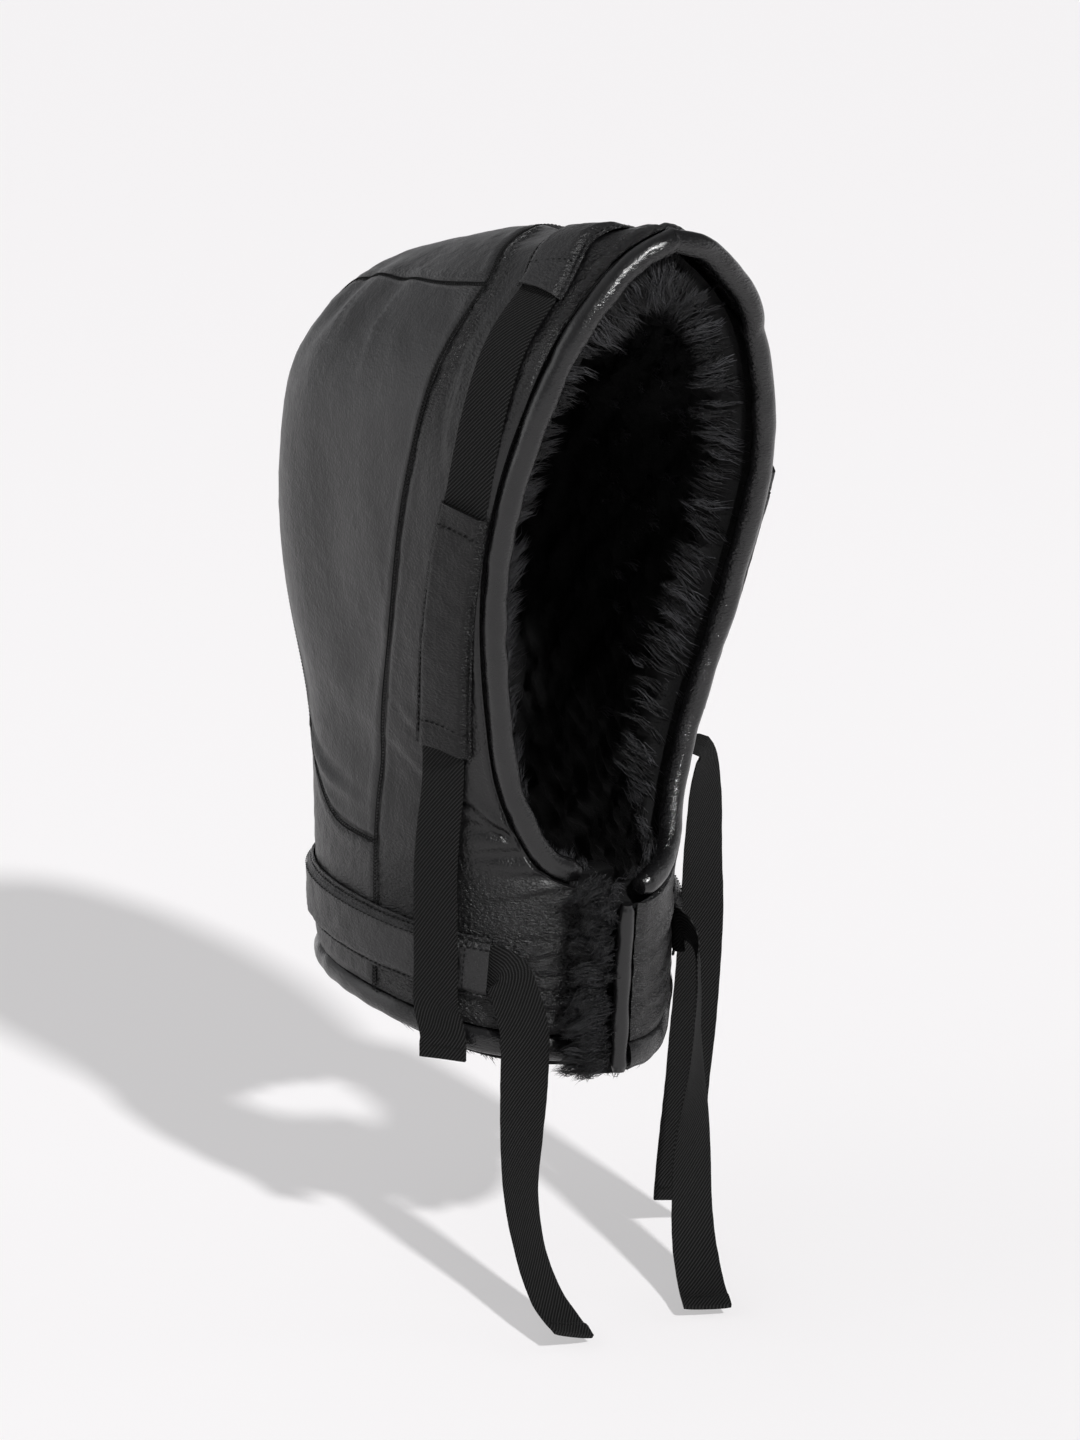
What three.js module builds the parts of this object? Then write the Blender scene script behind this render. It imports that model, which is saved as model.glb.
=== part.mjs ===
// A sheepskin hood with a stand collar, as it is worn, in millimetres, +Z up.
// The face looks to -Y and the wearer's left is +X. Heights count from the front hem,
// and the whole group then moves so that the seat on the crown of the head is the origin.

import * as THREE from "three";

// Driving sizes of the hood
const hoodHeight = 440;
const hoodWidth = 204;
const peakReach = 151;
const backReach = 108;

// Materials' thicknesses and the room between pieces
const leather = 2;
const woolDepth = 15;
const edgeGap = 0.5;
const layerGap = 2.3;

// The roll round the face, the roll on the free lapel and the roll along the hem
const bindingWide = 12;
const bindingDeep = 12;
const lapelRollWide = 9;
const lapelRollDeep = 9;
const hemRollTall = 15;
const hemRollDeep = 9;
const rollBulge = 1.0;

// How far the wool stands past the face edge and the hem, how its locks vary in depth, and how
// far the left lapel stands over the right one
const woolPastFace = 9;
const woolPastHem = 8;
const lockShare = 0.16;
const lapelRise = 21;

// The deepest dent in the leather, and how much more of it the wool takes
const dentDeep = 3;
const woolDentShare = 1.4;

// Webbing and the channels that it runs in
const webbingWide = 25;
const webbingThick = 1.4;
const webbingGap = 0.9;
const tunnelLeather = 1.5;
const tunnelRoom = 1.2;
const crossingRoom = 0.5;
const tunnelFoot = 0.9;
const foldedEnd = 9;

// Half widths of the channels: on the sides at the top and bottom, over the crown at the ends
// and in the middle, and round the neck
const sideTunnelHalf = { top: 14.4, bottom: 17 };
const crownTunnelHalf = { ends: 15.5, middle: 20 };
const bandHalf = 16.5;

// A table's rows as objects, with its columns' names.
function table(columns, rows) {
  return rows.map((row) => Object.fromEntries(columns.map((name, k) => [name, row[k]])));
}

// Sections of the outer surface, from the crown at 0 to the hem at 1. Front, widest and back
// are shares of peakReach and backReach along Y, side is a share of half the width, and
// the ups are shares of hoodHeight. Round is the power of the section's curve, 2 for an ellipse.
const sections = table(
  ["out", "front", "frontUp", "side", "widest", "sideUp", "back", "backUp", "frontRound", "backRound"],
  [
    [0.0, 0.265, 0.963, 0.0, 0.265, 0.963, -0.37, 0.963, 2.0, 2.0],
    [0.08, 0.596, 0.977, 0.353, 0.252, 0.946, 0.074, 0.939, 1.9, 2.0],
    [0.18, 1.0, 0.998, 0.647, 0.232, 0.9, 0.611, 0.893, 1.75, 2.4],
    [0.3, 1.179, 0.909, 0.912, 0.185, 0.811, 0.944, 0.802, 2.2, 2.5],
    [0.42, 1.139, 0.727, 1.0, 0.119, 0.693, 0.991, 0.68, 2.9, 2.5],
    [0.55, 0.993, 0.557, 0.971, 0.066, 0.545, 0.981, 0.534, 2.8, 2.5],
    [0.68, 0.828, 0.375, 0.863, 0.02, 0.375, 0.87, 0.375, 2.5, 2.4],
    [0.8, 0.735, 0.227, 0.853, 0.0, 0.245, 0.898, 0.255, 2.2, 2.2],
    [0.9, 0.702, 0.109, 0.863, 0.0, 0.136, 0.917, 0.141, 2.1, 2.1],
    [1.0, 0.682, -0.005, 0.873, 0.0, 0.045, 0.917, 0.041, 2.1, 2.1],
  ],
);

// Lines on the surface. Out is the share of the way from crown to hem, and turn is the angle
// in degrees from the middle of the front towards the piece's own side.
const faceEdge = table(["along", "out", "turn"], [
  [0.0, 0.815, -11],
  [0.08, 0.812, 8],
  [0.14, 0.795, 24],
  [0.2, 0.765, 33],
  [0.28, 0.7, 42.5],
  [0.38, 0.6, 47.5],
  [0.5, 0.48, 49.3],
  [0.6, 0.385, 47],
  [0.7, 0.3, 40.5],
  [0.8, 0.24, 31],
  [0.9, 0.2, 18.5],
  [1.0, 0.178, 0],
]);
const hemSeamOut = 0.967;
const crownCorner = { out: 0.19, turn: 64 };
const neckCorner = { out: 0.722, turn: 123 };
const collarCorner = { out: 0.793, turn: 79 };
const frontSeam = table(["along", "out", "turn"], [
  [0.0, 0.004, 0],
  [0.05, 0.022, 48],
  [0.13, 0.07, 60],
  [0.3, crownCorner.out, crownCorner.turn],
  [0.42, 0.29, 68],
  [0.54, 0.42, 69],
  [0.64, 0.54, 71],
  [0.76, 0.675, 77],
  [0.86, collarCorner.out, collarCorner.turn],
  [1.0, hemSeamOut, 79],
]);
const crownSeam = table(["along", "out", "turn"], [
  [0.0, crownCorner.out, crownCorner.turn],
  [0.1, 0.168, 82],
  [0.2, 0.152, 103],
  [0.32, 0.165, 130],
  [0.44, 0.215, 146],
  [0.58, 0.33, 147],
  [0.74, 0.48, 137],
  [0.88, 0.62, 128],
  [1.0, neckCorner.out, neckCorner.turn],
]);
const neckSeam = table(["along", "out", "turn"], [
  [0.0, collarCorner.out, collarCorner.turn],
  [0.2, 0.788, 100],
  [0.4, 0.75, 115],
  [0.5, neckCorner.out, neckCorner.turn],
  [0.7, 0.7, 142],
  [1.0, 0.69, 180],
]);
const sideStrapLine = table(["along", "out", "turn"], [
  [0.0, 0.105, 0],
  [0.1, 0.152, 34],
  [0.2, 0.232, 45],
  [0.3, 0.28, 50.5],
  [0.42, 0.34, 53],
  [0.55, 0.437, 54],
  [0.7, 0.55, 55.5],
  [0.85, 0.665, 56.3],
  [1.0, 0.8, 55.5],
  [1.2, 0.95, 54.5],
]);
const bandOut = 0.897;
const bandTurn = 40;

// Shallow dents and folds in the leather. Side is 1 for the wearer's left and -1 for the right,
// slant is the angle of the fold's length from the meridian, long and wide are shares of
// hoodHeight, and depth is a share of dentDeep, inward.
const dents = table(["side", "out", "turn", "slant", "long", "wide", "depth"], [
  [-1, 0.21, 131, 25, 0.0682, 0.025, 1],
  [-1, 0.2, 108, 10, 0.0773, 0.0273, 0.73],
  [-1, 0.5, 96, 5, 0.159, 0.0591, 0.6],
  [-1, 0.72, 62, 80, 0.0682, 0.0318, 0.53],
  [1, 0.22, 126, -20, 0.0727, 0.0273, 0.93],
  [1, 0.47, 100, -8, 0.145, 0.0545, 0.6],
  [1, 0.7, 92, 70, 0.0818, 0.0341, 0.6],
  [1, 0.36, 172, 85, 0.1, 0.0455, 0.53],
]);

// Stretches of webbing that hang free. Right, front and up are shares of half the hood's width,
// peakReach and hoodHeight; plan is the heading in degrees of the webbing's width, seen from
// above, and tip is how far that width stands up, 1 when it is upright.
const sideStrapRightEnd = table(["right", "front", "up", "plan", "tip"], [
  [0.75, 0.446, 0.04, -56, 0],
  [0.745, 0.444, 0.009, -54, 0],
]);
const sideStrapLeftEnd = table(["right", "front", "up", "plan", "tip"], [
  [-0.835, 0.478, 0.325, 220, 0],
  [-0.87, 0.478, 0.27, 200, 0],
  [-0.875, 0.47, 0.2, 182, 0],
  [-0.878, 0.464, 0.12, 170, 0],
  [-0.85, 0.45, 0.02, 162, 0],
  [-0.8, 0.425, -0.12, 158, 0],
  [-0.765, 0.405, -0.253, 156, 0],
]);
const neckStrapRightEnd = table(["right", "front", "up", "plan", "tip"], [
  [0.535, 0.6, 0.12, -38, 0.92],
  [0.475, 0.628, 0.092, -36, 0.5],
  [0.451, 0.64, 0.045, -34, 0.1],
  [0.451, 0.636, -0.02, -22, 0],
  [0.461, 0.634, -0.09, -8, 0],
  [0.48, 0.66, -0.16, 4, 0],
  [0.51, 0.755, -0.222, 13, 0],
  [0.555, 0.93, -0.265, 19, 0],
  [0.6, 1.19, -0.285, 24, 0],
]);
const neckStrapLeftEnd = table(["right", "front", "up", "plan", "tip"], [
  [-0.566, 0.62, 0.122, 225, 0.94],
  [-0.6, 0.655, 0.1, 230, 0.5],
  [-0.6, 0.67, 0.06, 232, 0.1],
  [-0.58, 0.68, 0.0, 222, 0],
  [-0.55, 0.7, -0.08, 202, 0],
  [-0.48, 0.75, -0.165, 185, 0],
  [-0.38, 0.86, -0.232, 175, 0],
  [-0.26, 1.02, -0.272, 170, 0],
  [-0.14, 1.2, -0.285, 168, 0],
]);

const degree = Math.PI / 180;
const halfWidth = hoodWidth / 2;
const right = -1;
const left = 1;

// A smooth curve through the rows of a table, read column by column.
function readTable(rows, key, names, at) {
  let first = 0;
  while (first < rows.length - 2 && at > rows[first + 1][key]) first += 1;
  const span = rows[first + 1][key] - rows[first][key];
  const t = (at - rows[first][key]) / span;
  const slope = (i, name) => {
    const a = rows[Math.max(i - 1, 0)];
    const b = rows[Math.min(i + 1, rows.length - 1)];
    return (b[name] - a[name]) / (b[key] - a[key]);
  };
  const result = {};
  for (const name of names) {
    const from = rows[first][name];
    const to = rows[first + 1][name];
    const leave = slope(first, name) * span;
    const arrive = slope(first + 1, name) * span;
    const bend = from - to;
    const square = -3 * bend - 2 * leave - arrive;
    const cube = 2 * bend + leave + arrive;
    result[name] = from + t * (leave + t * (square + t * cube));
  }
  return result;
}

// The row before the crown is the second row seen from the other side of the hood,
// so that the surface runs smoothly over the crown.
const beyondCrown = {
  ...sections[1],
  out: -sections[1].out,
  side: -sections[1].side,
  front: -sections[1].back * (backReach / peakReach),
  frontUp: sections[1].backUp,
  back: -sections[1].front * (peakReach / backReach),
  backUp: sections[1].frontUp,
};
const sectionRows = [beyondCrown, ...sections];
const sectionNames = Object.keys(sections[0]).filter((name) => name !== "out");

// The bare outer surface. Spot is a place on it as a flat disc: the crown is the middle,
// the hem is the circle of radius 1, and the front is towards -y.
function bareSurface(spot) {
  const out = Math.hypot(spot.x, spot.y);
  const row = readTable(sectionRows, "out", sectionNames, out);
  const ahead = out > 0 ? -spot.y / out : 1;
  const aside = out > 0 ? spot.x / out : 0;
  const power = ahead > 0 ? row.frontRound : row.backRound;
  const round = (Math.abs(ahead) ** power + Math.abs(aside) ** power) ** (-1 / power);
  const c = ahead * round;
  const s = aside * round;
  const frontY = -row.front * peakReach;
  const backY = row.back * backReach;
  const widestY = -row.widest * peakReach;
  const middleUp = (row.frontUp + row.backUp) / 2 - row.sideUp;
  return new THREE.Vector3(
    row.side * halfWidth * s,
    widestY - (c * (backY - frontY)) / 2 + ((frontY + backY) / 2 - widestY) * c * c,
    (row.sideUp + ((row.frontUp - row.backUp) / 2) * c + middleUp * c * c) * hoodHeight,
  );
}

const spotStep = 0.002;

function bareFrame(spot) {
  const at = bareSurface(spot);
  const alongX = bareSurface(new THREE.Vector2(spot.x + spotStep, spot.y)).sub(at);
  const alongY = bareSurface(new THREE.Vector2(spot.x, spot.y + spotStep)).sub(at);
  return { at, normal: alongX.clone().cross(alongY).normalize(), alongX, alongY };
}

function spotAt(line, side) {
  const angle = line.turn * degree;
  return new THREE.Vector2(side * line.out * Math.sin(angle), -line.out * Math.cos(angle));
}

function turnOf(spot, side) {
  const turn = Math.atan2(side * spot.x, -spot.y) / degree;
  return turn < -90 ? turn + 360 : turn;
}

function lineSpot(table, along, side) {
  return spotAt(readTable(table, "along", ["out", "turn"], along), side);
}

function ease(from, to, value) {
  const t = THREE.MathUtils.clamp((value - from) / (to - from), 0, 1);
  return t * t * (3 - 2 * t);
}

// Each dent's middle, the direction of its length and the direction across it.
const dentFrames = dents.map((dent) => {
  const spot = spotAt(dent, dent.side);
  const { at, normal } = bareFrame(spot);
  const down = bareSurface(spot.clone().multiplyScalar(1.01)).sub(at);
  down.applyAxisAngle(normal, -dent.side * dent.slant * degree).normalize();
  return { ...dent, middle: at, length: down, across: normal.clone().cross(down) };
});

function dentDepth(point) {
  let depth = 0;
  for (const dent of dentFrames) {
    const away = point.clone().sub(dent.middle);
    const lengthwise = away.dot(dent.length) / (dent.long * hoodHeight);
    const crosswise = away.dot(dent.across) / (dent.wide * hoodHeight);
    depth += dentDeep * dent.depth * Math.exp(-(lengthwise ** 2) - crosswise ** 2);
  }
  return depth;
}

// The left lapel rises over the right one towards the middle of the front.
function lift(spot, side) {
  if (side !== left) return 0;
  const acrossFront = 1 - ease(-2, 42, turnOf(spot, left));
  return lapelRise * acrossFront * ease(0.7, 0.79, spot.length());
}

// A point at a height over the surface, with the dents deepened by the given share.
function place(spot, height, side, dentShare = 1) {
  const { at, normal } = bareFrame(spot);
  return at.addScaledVector(normal, height + lift(spot, side) - dentShare * dentDepth(at.clone()));
}

function frameAt(spot, side) {
  const at = place(spot, 0, side);
  const alongX = place(new THREE.Vector2(spot.x + spotStep, spot.y), 0, side).sub(at);
  const alongY = place(new THREE.Vector2(spot.x, spot.y + spotStep), 0, side).sub(at);
  return { at, normal: alongX.cross(alongY).normalize() };
}

// A closed solid from points and faces, turned so that its faces point out.
function solid(points, faces) {
  let volume = 0;
  for (const [a, b, c] of faces) volume += points[a].dot(points[b].clone().cross(points[c]));
  const geometry = new THREE.BufferGeometry();
  const flat = new Float32Array(points.flatMap((point) => [point.x, point.y, point.z]));
  geometry.setAttribute("position", new THREE.BufferAttribute(flat, 3));
  geometry.setIndex(faces.flatMap(([a, b, c]) => (volume > 0 ? [a, b, c] : [a, c, b])));
  return geometry;
}

// A wall between an outer and an inner grid of points, closed round its rim.
function wall(columns, rows, outerAt, innerAt) {
  const points = [];
  const faces = [];
  const index = (layer, i, j) => (layer * (rows + 1) + j) * (columns + 1) + i;
  for (const at of [outerAt, innerAt]) {
    for (let j = 0; j <= rows; j += 1) {
      for (let i = 0; i <= columns; i += 1) points.push(at(i, j));
    }
  }
  const quad = (a, b, c, d) => faces.push([a, b, c], [a, c, d]);
  for (let j = 0; j < rows; j += 1) {
    for (let i = 0; i < columns; i += 1) {
      quad(index(0, i, j), index(0, i + 1, j), index(0, i + 1, j + 1), index(0, i, j + 1));
      quad(index(1, i, j), index(1, i, j + 1), index(1, i + 1, j + 1), index(1, i + 1, j));
    }
  }
  for (let i = 0; i < columns; i += 1) {
    quad(index(0, i, 0), index(1, i, 0), index(1, i + 1, 0), index(0, i + 1, 0));
    quad(index(0, i, rows), index(0, i + 1, rows), index(1, i + 1, rows), index(1, i, rows));
  }
  for (let j = 0; j < rows; j += 1) {
    quad(index(0, 0, j), index(0, 0, j + 1), index(1, 0, j + 1), index(1, 0, j));
    quad(index(0, columns, j), index(1, columns, j), index(1, columns, j + 1), index(0, columns, j + 1));
  }
  return solid(points, faces);
}

// A solid swept through a list of rings with the same number of points.
function swept(rings) {
  const size = rings[0].length;
  const points = rings.flat();
  const faces = [];
  for (let j = 0; j < rings.length - 1; j += 1) {
    for (let i = 0; i < size; i += 1) {
      const next = (i + 1) % size;
      const a = j * size + i;
      const b = j * size + next;
      faces.push([a, b, b + size], [a, b + size, a + size]);
    }
  }
  const last = (rings.length - 1) * size;
  for (let i = 1; i < size - 1; i += 1) {
    faces.push([0, i + 1, i], [last, last + i, last + i + 1]);
  }
  return solid(points, faces);
}

// Even shares from one value to another, without the first.
function evenly(from, to, count) {
  return Array.from({ length: count }, (_, k) => from + ((to - from) * (k + 1)) / count);
}

// The shares of a line, with the two ends drawn in by half the gap between pieces.
function drawnIn(shares, spotOf) {
  const last = shares.length - 1;
  const inset = (end, next) => {
    const step = bareSurface(spotOf(shares[end])).distanceTo(bareSurface(spotOf(shares[next])));
    const room = Math.min(0.45, edgeGap / 2 / Math.max(step, 0.01));
    return THREE.MathUtils.lerp(shares[end], shares[next], room);
  };
  return [inset(0, 1), ...shares.slice(1, -1), inset(last, last - 1)];
}

// A leather panel: a patch of the surface with half the gap left along each edge.
function panel(spotFor, columnShares, rowShares, side) {
  const spot = (i, j) => {
    const across = drawnIn(columnShares, (share) => spotFor(share, rowShares[j]))[i];
    const along = drawnIn(rowShares, (share) => spotFor(columnShares[i], share))[j];
    return spotFor(across, along);
  };
  const grid = columnShares.map((_, i) => rowShares.map((__, j) => spot(i, j)));
  return wall(
    columnShares.length - 1,
    rowShares.length - 1,
    (i, j) => place(grid[i][j], 0, side),
    (i, j) => place(grid[i][j], -leather, side),
  );
}

function between(a, b, share) {
  return a.clone().lerp(b, share);
}

function polarBetween(a, b, share, side) {
  const out = THREE.MathUtils.lerp(a.length(), b.length(), share);
  const turn = THREE.MathUtils.lerp(turnOf(a, side), turnOf(b, side), share);
  return spotAt({ out, turn }, side);
}

// The front panel runs from the front seam to the face edge, and lower down to the lapel's edge.
const throatAlong = 0.9;
const throatPower = 1.25;
const throatOut = faceEdge[0].out;
const lapelTurn = { [right]: -8, [left]: 0.5 };

function faceAlong(along, side) {
  const throat = (lapelTurn[side] - faceEdge[0].turn) / (faceEdge[1].turn - faceEdge[0].turn);
  return THREE.MathUtils.lerp(1, throat * faceEdge[1].along, (along / throatAlong) ** throatPower);
}

function frontPanelSpot(side) {
  return (across, along) => {
    const seam = lineSpot(frontSeam, along, side);
    let edge = lineSpot(faceEdge, faceAlong(along, side), side);
    if (along > throatAlong) {
      const share = (along - throatAlong) / (1 - throatAlong);
      const out = THREE.MathUtils.lerp(throatOut, hemSeamOut, share);
      edge = spotAt({ out, turn: lapelTurn[side] }, side);
    }
    const straight = between(seam, edge, across);
    return between(straight, polarBetween(seam, edge, across, side), ease(0.5, 0.85, along));
  };
}

const frontColumns = [0, 0.2, 0.38, 0.52, 0.65, 0.77, 0.88, 1];
const crownAlong = frontSeam[3].along;
const collarAlong = frontSeam[8].along;
const neckAlong = neckSeam[3].along;

// Pieces that share a seam have their corners at the same places along it.
const crownSteps = 6;
const sideSteps = 16;
const neckSteps = 8;
const collarSteps = 4;
const sideShares = [0, ...evenly(0, 1, sideSteps)];
const frontShares = [
  0,
  ...evenly(0, crownAlong, crownSteps),
  ...evenly(crownAlong, collarAlong, sideSteps),
  ...evenly(collarAlong, 1, collarSteps),
];

function sidePanelSpot(side) {
  return (across, along) => {
    const front = lineSpot(frontSeam, THREE.MathUtils.lerp(crownAlong, collarAlong, along), side);
    const back = lineSpot(crownSeam, along, side);
    const lowFront = lineSpot(neckSeam, 0, side);
    const lowBack = lineSpot(neckSeam, neckAlong, side);
    const bow = lineSpot(neckSeam, neckAlong * across, side).sub(between(lowFront, lowBack, across));
    return between(front, back, across).addScaledVector(bow, ease(0.3, 1, along));
  };
}

function crownPanelSpot(across, along) {
  const side = across < 0.5 ? right : left;
  const aside = Math.abs(2 * across - 1);
  const topBow = lineSpot(frontSeam, crownAlong * aside, side);
  topBow.sub(between(spotAt(crownCorner, right), spotAt(crownCorner, left), across));
  const lowBow = lineSpot(neckSeam, 1 - (1 - neckAlong) * aside, side);
  lowBow.sub(between(spotAt(neckCorner, right), spotAt(neckCorner, left), across));
  const edges = between(lineSpot(crownSeam, along, right), lineSpot(crownSeam, along, left), across);
  edges.addScaledVector(topBow, (1 - ease(0, 0.4, along)) * (1 - along));
  return edges.addScaledVector(lowBow, ease(0.3, 1, along));
}

function napePanelSpot(across, along) {
  const side = across < 0.5 ? right : left;
  const seam = lineSpot(neckSeam, 1 - Math.abs(2 * across - 1), side);
  return seam.setLength(THREE.MathUtils.lerp(seam.length(), hemSeamOut, along));
}

const rollSides = 8;

function rollAngles() {
  return Array.from({ length: rollSides }, (_, k) => (2 * Math.PI * (k + 0.5)) / rollSides);
}

// The turned leather along the hem, from the lapel to the middle of the back.
function hemRoll(side, steps) {
  const halfOut = (1 - hemSeamOut) / 2;
  const wide = halfOut * (1 - edgeGap / hemRollTall);
  const rings = [];
  for (let j = 0; j <= steps; j += 1) {
    const endTurn = 180 - edgeGap / halfWidth / degree / 2;
    const turn = THREE.MathUtils.lerp(lapelTurn[side], endTurn, j / steps);
    rings.push(
      rollAngles().map((angle) => {
        const spot = spotAt({ out: 1 - halfOut + wide * Math.cos(angle), turn }, side);
        return place(spot, rollBulge + (hemRollDeep / 2) * (Math.sin(angle) - 1), side);
      }),
    );
  }
  return swept(rings);
}

// The roll up the free edge of the left lapel, from the hem to the throat. The throat stands
// out by this share of peakReach.
const throatReach = 0.7;
const lapelRollEnd = 0.998;

function lapelRoll(steps) {
  const degreesOf = (distance) => distance / (throatReach * peakReach) / degree;
  const halfTurn = degreesOf(lapelRollWide / 2);
  const middleTurn = lapelTurn[left] - halfTurn - degreesOf(edgeGap);
  const rings = [];
  for (let j = 0; j <= steps; j += 1) {
    const out = THREE.MathUtils.lerp(throatOut, lapelRollEnd, j / steps);
    rings.push(
      rollAngles().map((angle) => {
        const spot = spotAt({ out, turn: middleTurn + halfTurn * Math.cos(angle) }, left);
        return place(spot, rollBulge + (lapelRollDeep / 2) * (Math.sin(angle) - 1), left);
      }),
    );
  }
  return swept(rings);
}

// The padded roll round the face, from the right side of the throat over the peak to the left.
const bindingStart = { [right]: 14, [left]: 3 };

function bindingAlong(side) {
  const start = (bindingStart[side] - faceEdge[1].turn) / (faceEdge[2].turn - faceEdge[1].turn);
  return THREE.MathUtils.lerp(faceEdge[1].along, faceEdge[2].along, start);
}

function faceBinding() {
  const half = (side) => {
    const last = bindingAlong(side);
    const shares = frontShares.map((share) => faceAlong(share, side));
    const stops = shares.filter((along) => along > last + 0.01);
    return [...stops, last].map((along) => ({ spot: lineSpot(faceEdge, along, side), side }));
  };
  const stops = [...half(right).reverse(), ...half(left).slice(1)];
  const frames = stops.map(({ spot, side }) => frameAt(spot, side));
  const rings = frames.map(({ at, normal }, j) => {
    const before = frames[Math.max(j - 1, 0)].at;
    const after = frames[Math.min(j + 1, frames.length - 1)].at;
    const inward = after.clone().sub(before).cross(normal).normalize();
    return rollAngles().map((angle) => {
      const into = edgeGap + (bindingWide / 2) * (1 + Math.cos(angle));
      const height = rollBulge + (bindingDeep / 2) * (Math.sin(angle) - 1);
      return at.clone().addScaledVector(inward, into).addScaledVector(normal, height);
    });
  });
  return swept(rings);
}

// The wool lies under the leather from the lapel's slit round to the middle of the back, and
// passes behind the rolls. Rays run over the disc from the face edge to the hem.
const woolTurn = { [right]: -8, [left]: -11 };
const raySamples = 32;

function ray(turn, side) {
  const along = (turn - faceEdge[0].turn) / (180 - faceEdge[0].turn);
  const from = lineSpot(faceEdge, along, side);
  const to = spotAt({ out: 1, turn }, side);
  const lengths = [0];
  let last = bareSurface(from);
  for (let k = 1; k <= raySamples; k += 1) {
    const next = bareSurface(between(from, to, k / raySamples));
    lengths.push(lengths[k - 1] + next.distanceTo(last));
    last = next;
  }
  const total = lengths[raySamples];
  const shareAt = (distance) => {
    let k = 1;
    while (k < raySamples && distance > lengths[k]) k += 1;
    return (k - 1 + (distance - lengths[k - 1]) / (lengths[k] - lengths[k - 1])) / raySamples;
  };
  return { total, spotAt: (distance) => between(from, to, shareAt(distance)) };
}

function woolHeights(side, turn, fromFace, fromHem, lock) {
  const behindLeather = leather + layerGap;
  const behindRoll = (rollDeep) => rollDeep - rollBulge - leather;
  const face = (1 - ease(1, 9, fromFace)) * behindRoll(bindingDeep);
  const hem = (1 - ease(hemRollTall + 3, hemRollTall + 12, fromHem)) * behindRoll(hemRollDeep);
  const lapel = side === left ? (1 - ease(1, 5, turn)) * behindRoll(lapelRollDeep) : 0;
  const underLapel = side === left ? 0.8 * (1 - ease(30, 50, turn)) : 0;
  const outer = -behindLeather - Math.max(face, hem, lapel) - underLapel;
  const inner = outer - woolDepth * lock;
  if (side !== left) return { outer, inner };
  const overRight = layerGap + rollBulge - lift(spotAt({ out: 1, turn }, left), left);
  return { outer, inner: THREE.MathUtils.lerp(Math.max(inner, overRight), inner, ease(12, 22, turn)) };
}

// Columns of the wool's grid in degrees from the front, then even ones to the back, and rows.
const woolTurns = [0, 7, 14, 22, 31, 40];
const woolEvenTurns = 14;
const woolRows = 13;
const woolFirstRow = 10;

function fleece() {
  const columnsOf = (side) => {
    const near = [woolTurn[side], ...woolTurns];
    const last = near[near.length - 1];
    const turns = [...near, ...evenly(last, 180, woolEvenTurns)];
    return turns.map((turn) => ({ turn, side, line: ray(turn, side) }));
  };
  const leftColumns = columnsOf(left).slice(0, -1).reverse();
  const columns = [...columnsOf(right), ...leftColumns];
  const stations = ({ total }) => {
    const lastRow = total - hemRollTall - woolFirstRow;
    const middle = evenly(woolFirstRow, lastRow, woolRows + 1);
    return [-woolPastFace, 0, woolFirstRow, ...middle, total - hemRollTall, total, total + woolPastHem];
  };
  const grid = columns.map(({ turn, side, line }, i) => {
    return stations(line).map((distance, j) => {
      const lock = 1 + lockShare * Math.sin(2.4 * i + 1.7 * j) * Math.cos(1.3 * i - 2.9 * j);
      const spot = line.spotAt(distance);
      const { outer, inner } = woolHeights(side, turn, distance, line.total - distance, lock);
      return [outer, inner].map((height) => place(spot, height, side, woolDentShare));
    });
  });
  return wall(
    grid.length - 1,
    grid[0].length - 1,
    (i, j) => grid[i][j][0],
    (i, j) => grid[i][j][1],
  );
}

// The spot that lies a distance away from another, in a direction along the surface.
function stepAcross(spot, direction, distance) {
  const { alongX, alongY } = bareFrame(spot);
  const xx = alongX.dot(alongX);
  const xy = alongX.dot(alongY);
  const yy = alongY.dot(alongY);
  const towardX = alongX.dot(direction);
  const towardY = alongY.dot(direction);
  const scale = (spotStep * distance) / (xx * yy - xy * xy);
  return new THREE.Vector2(
    spot.x + (yy * towardX - xy * towardY) * scale,
    spot.y + (xx * towardY - xy * towardX) * scale,
  );
}

// Webbing is a flat ribbon through keys. Each has a middle, the direction of its width, and
// how far its two edges bend down to follow what it lies on.
function webbing(keys) {
  const curve = new THREE.CatmullRomCurve3(keys.map((key) => key.at), false, "centripetal");
  const spans = keys.length - 1;
  const foldShare = (a, b) => foldedEnd / keys[a].at.distanceTo(keys[b].at);
  const startFold = foldShare(0, 1);
  const endFold = spans - foldShare(spans, spans - 1);
  const stops = keys.flatMap((key, k) => (key.lies ? [k] : [k, k + 0.5])).filter((stop) => stop <= spans);
  const inner = stops.filter((stop) => stop > startFold + 0.1 && stop < endFold - 0.1);
  const rings = [0, startFold, startFold + 0.02, ...inner, endFold - 0.02, endFold, spans].map((stop) => {
    const at = curve.getPoint(stop / spans);
    const heading = curve.getTangent(stop / spans);
    const k = Math.min(Math.floor(stop), spans - 1);
    const across = keys[k].wide.clone().lerp(keys[k + 1].wide, stop - k);
    across.addScaledVector(heading, -across.dot(heading)).normalize();
    const normal = heading.clone().cross(across).negate();
    const bows = [0, 1].map((end) => {
      return THREE.MathUtils.lerp(keys[k].bows[end], keys[k + 1].bows[end], stop - k);
    });
    const layers = stop < startFold + 0.01 || stop > endFold - 0.01 ? 2 : 1;
    const corner = (a, b) => {
      const bow = a < 0 ? bows[0] : a > 0 ? bows[1] : 0;
      const height = bow + webbingThick * (b > 0 ? layers - 0.5 : -0.5);
      return at.clone().addScaledVector(across, (a * webbingWide) / 2).addScaledVector(normal, height);
    };
    return [corner(-1, -1), corner(0, -1), corner(1, -1), corner(1, 1), corner(0, 1), corner(-1, 1)];
  });
  return swept(rings);
}

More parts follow.
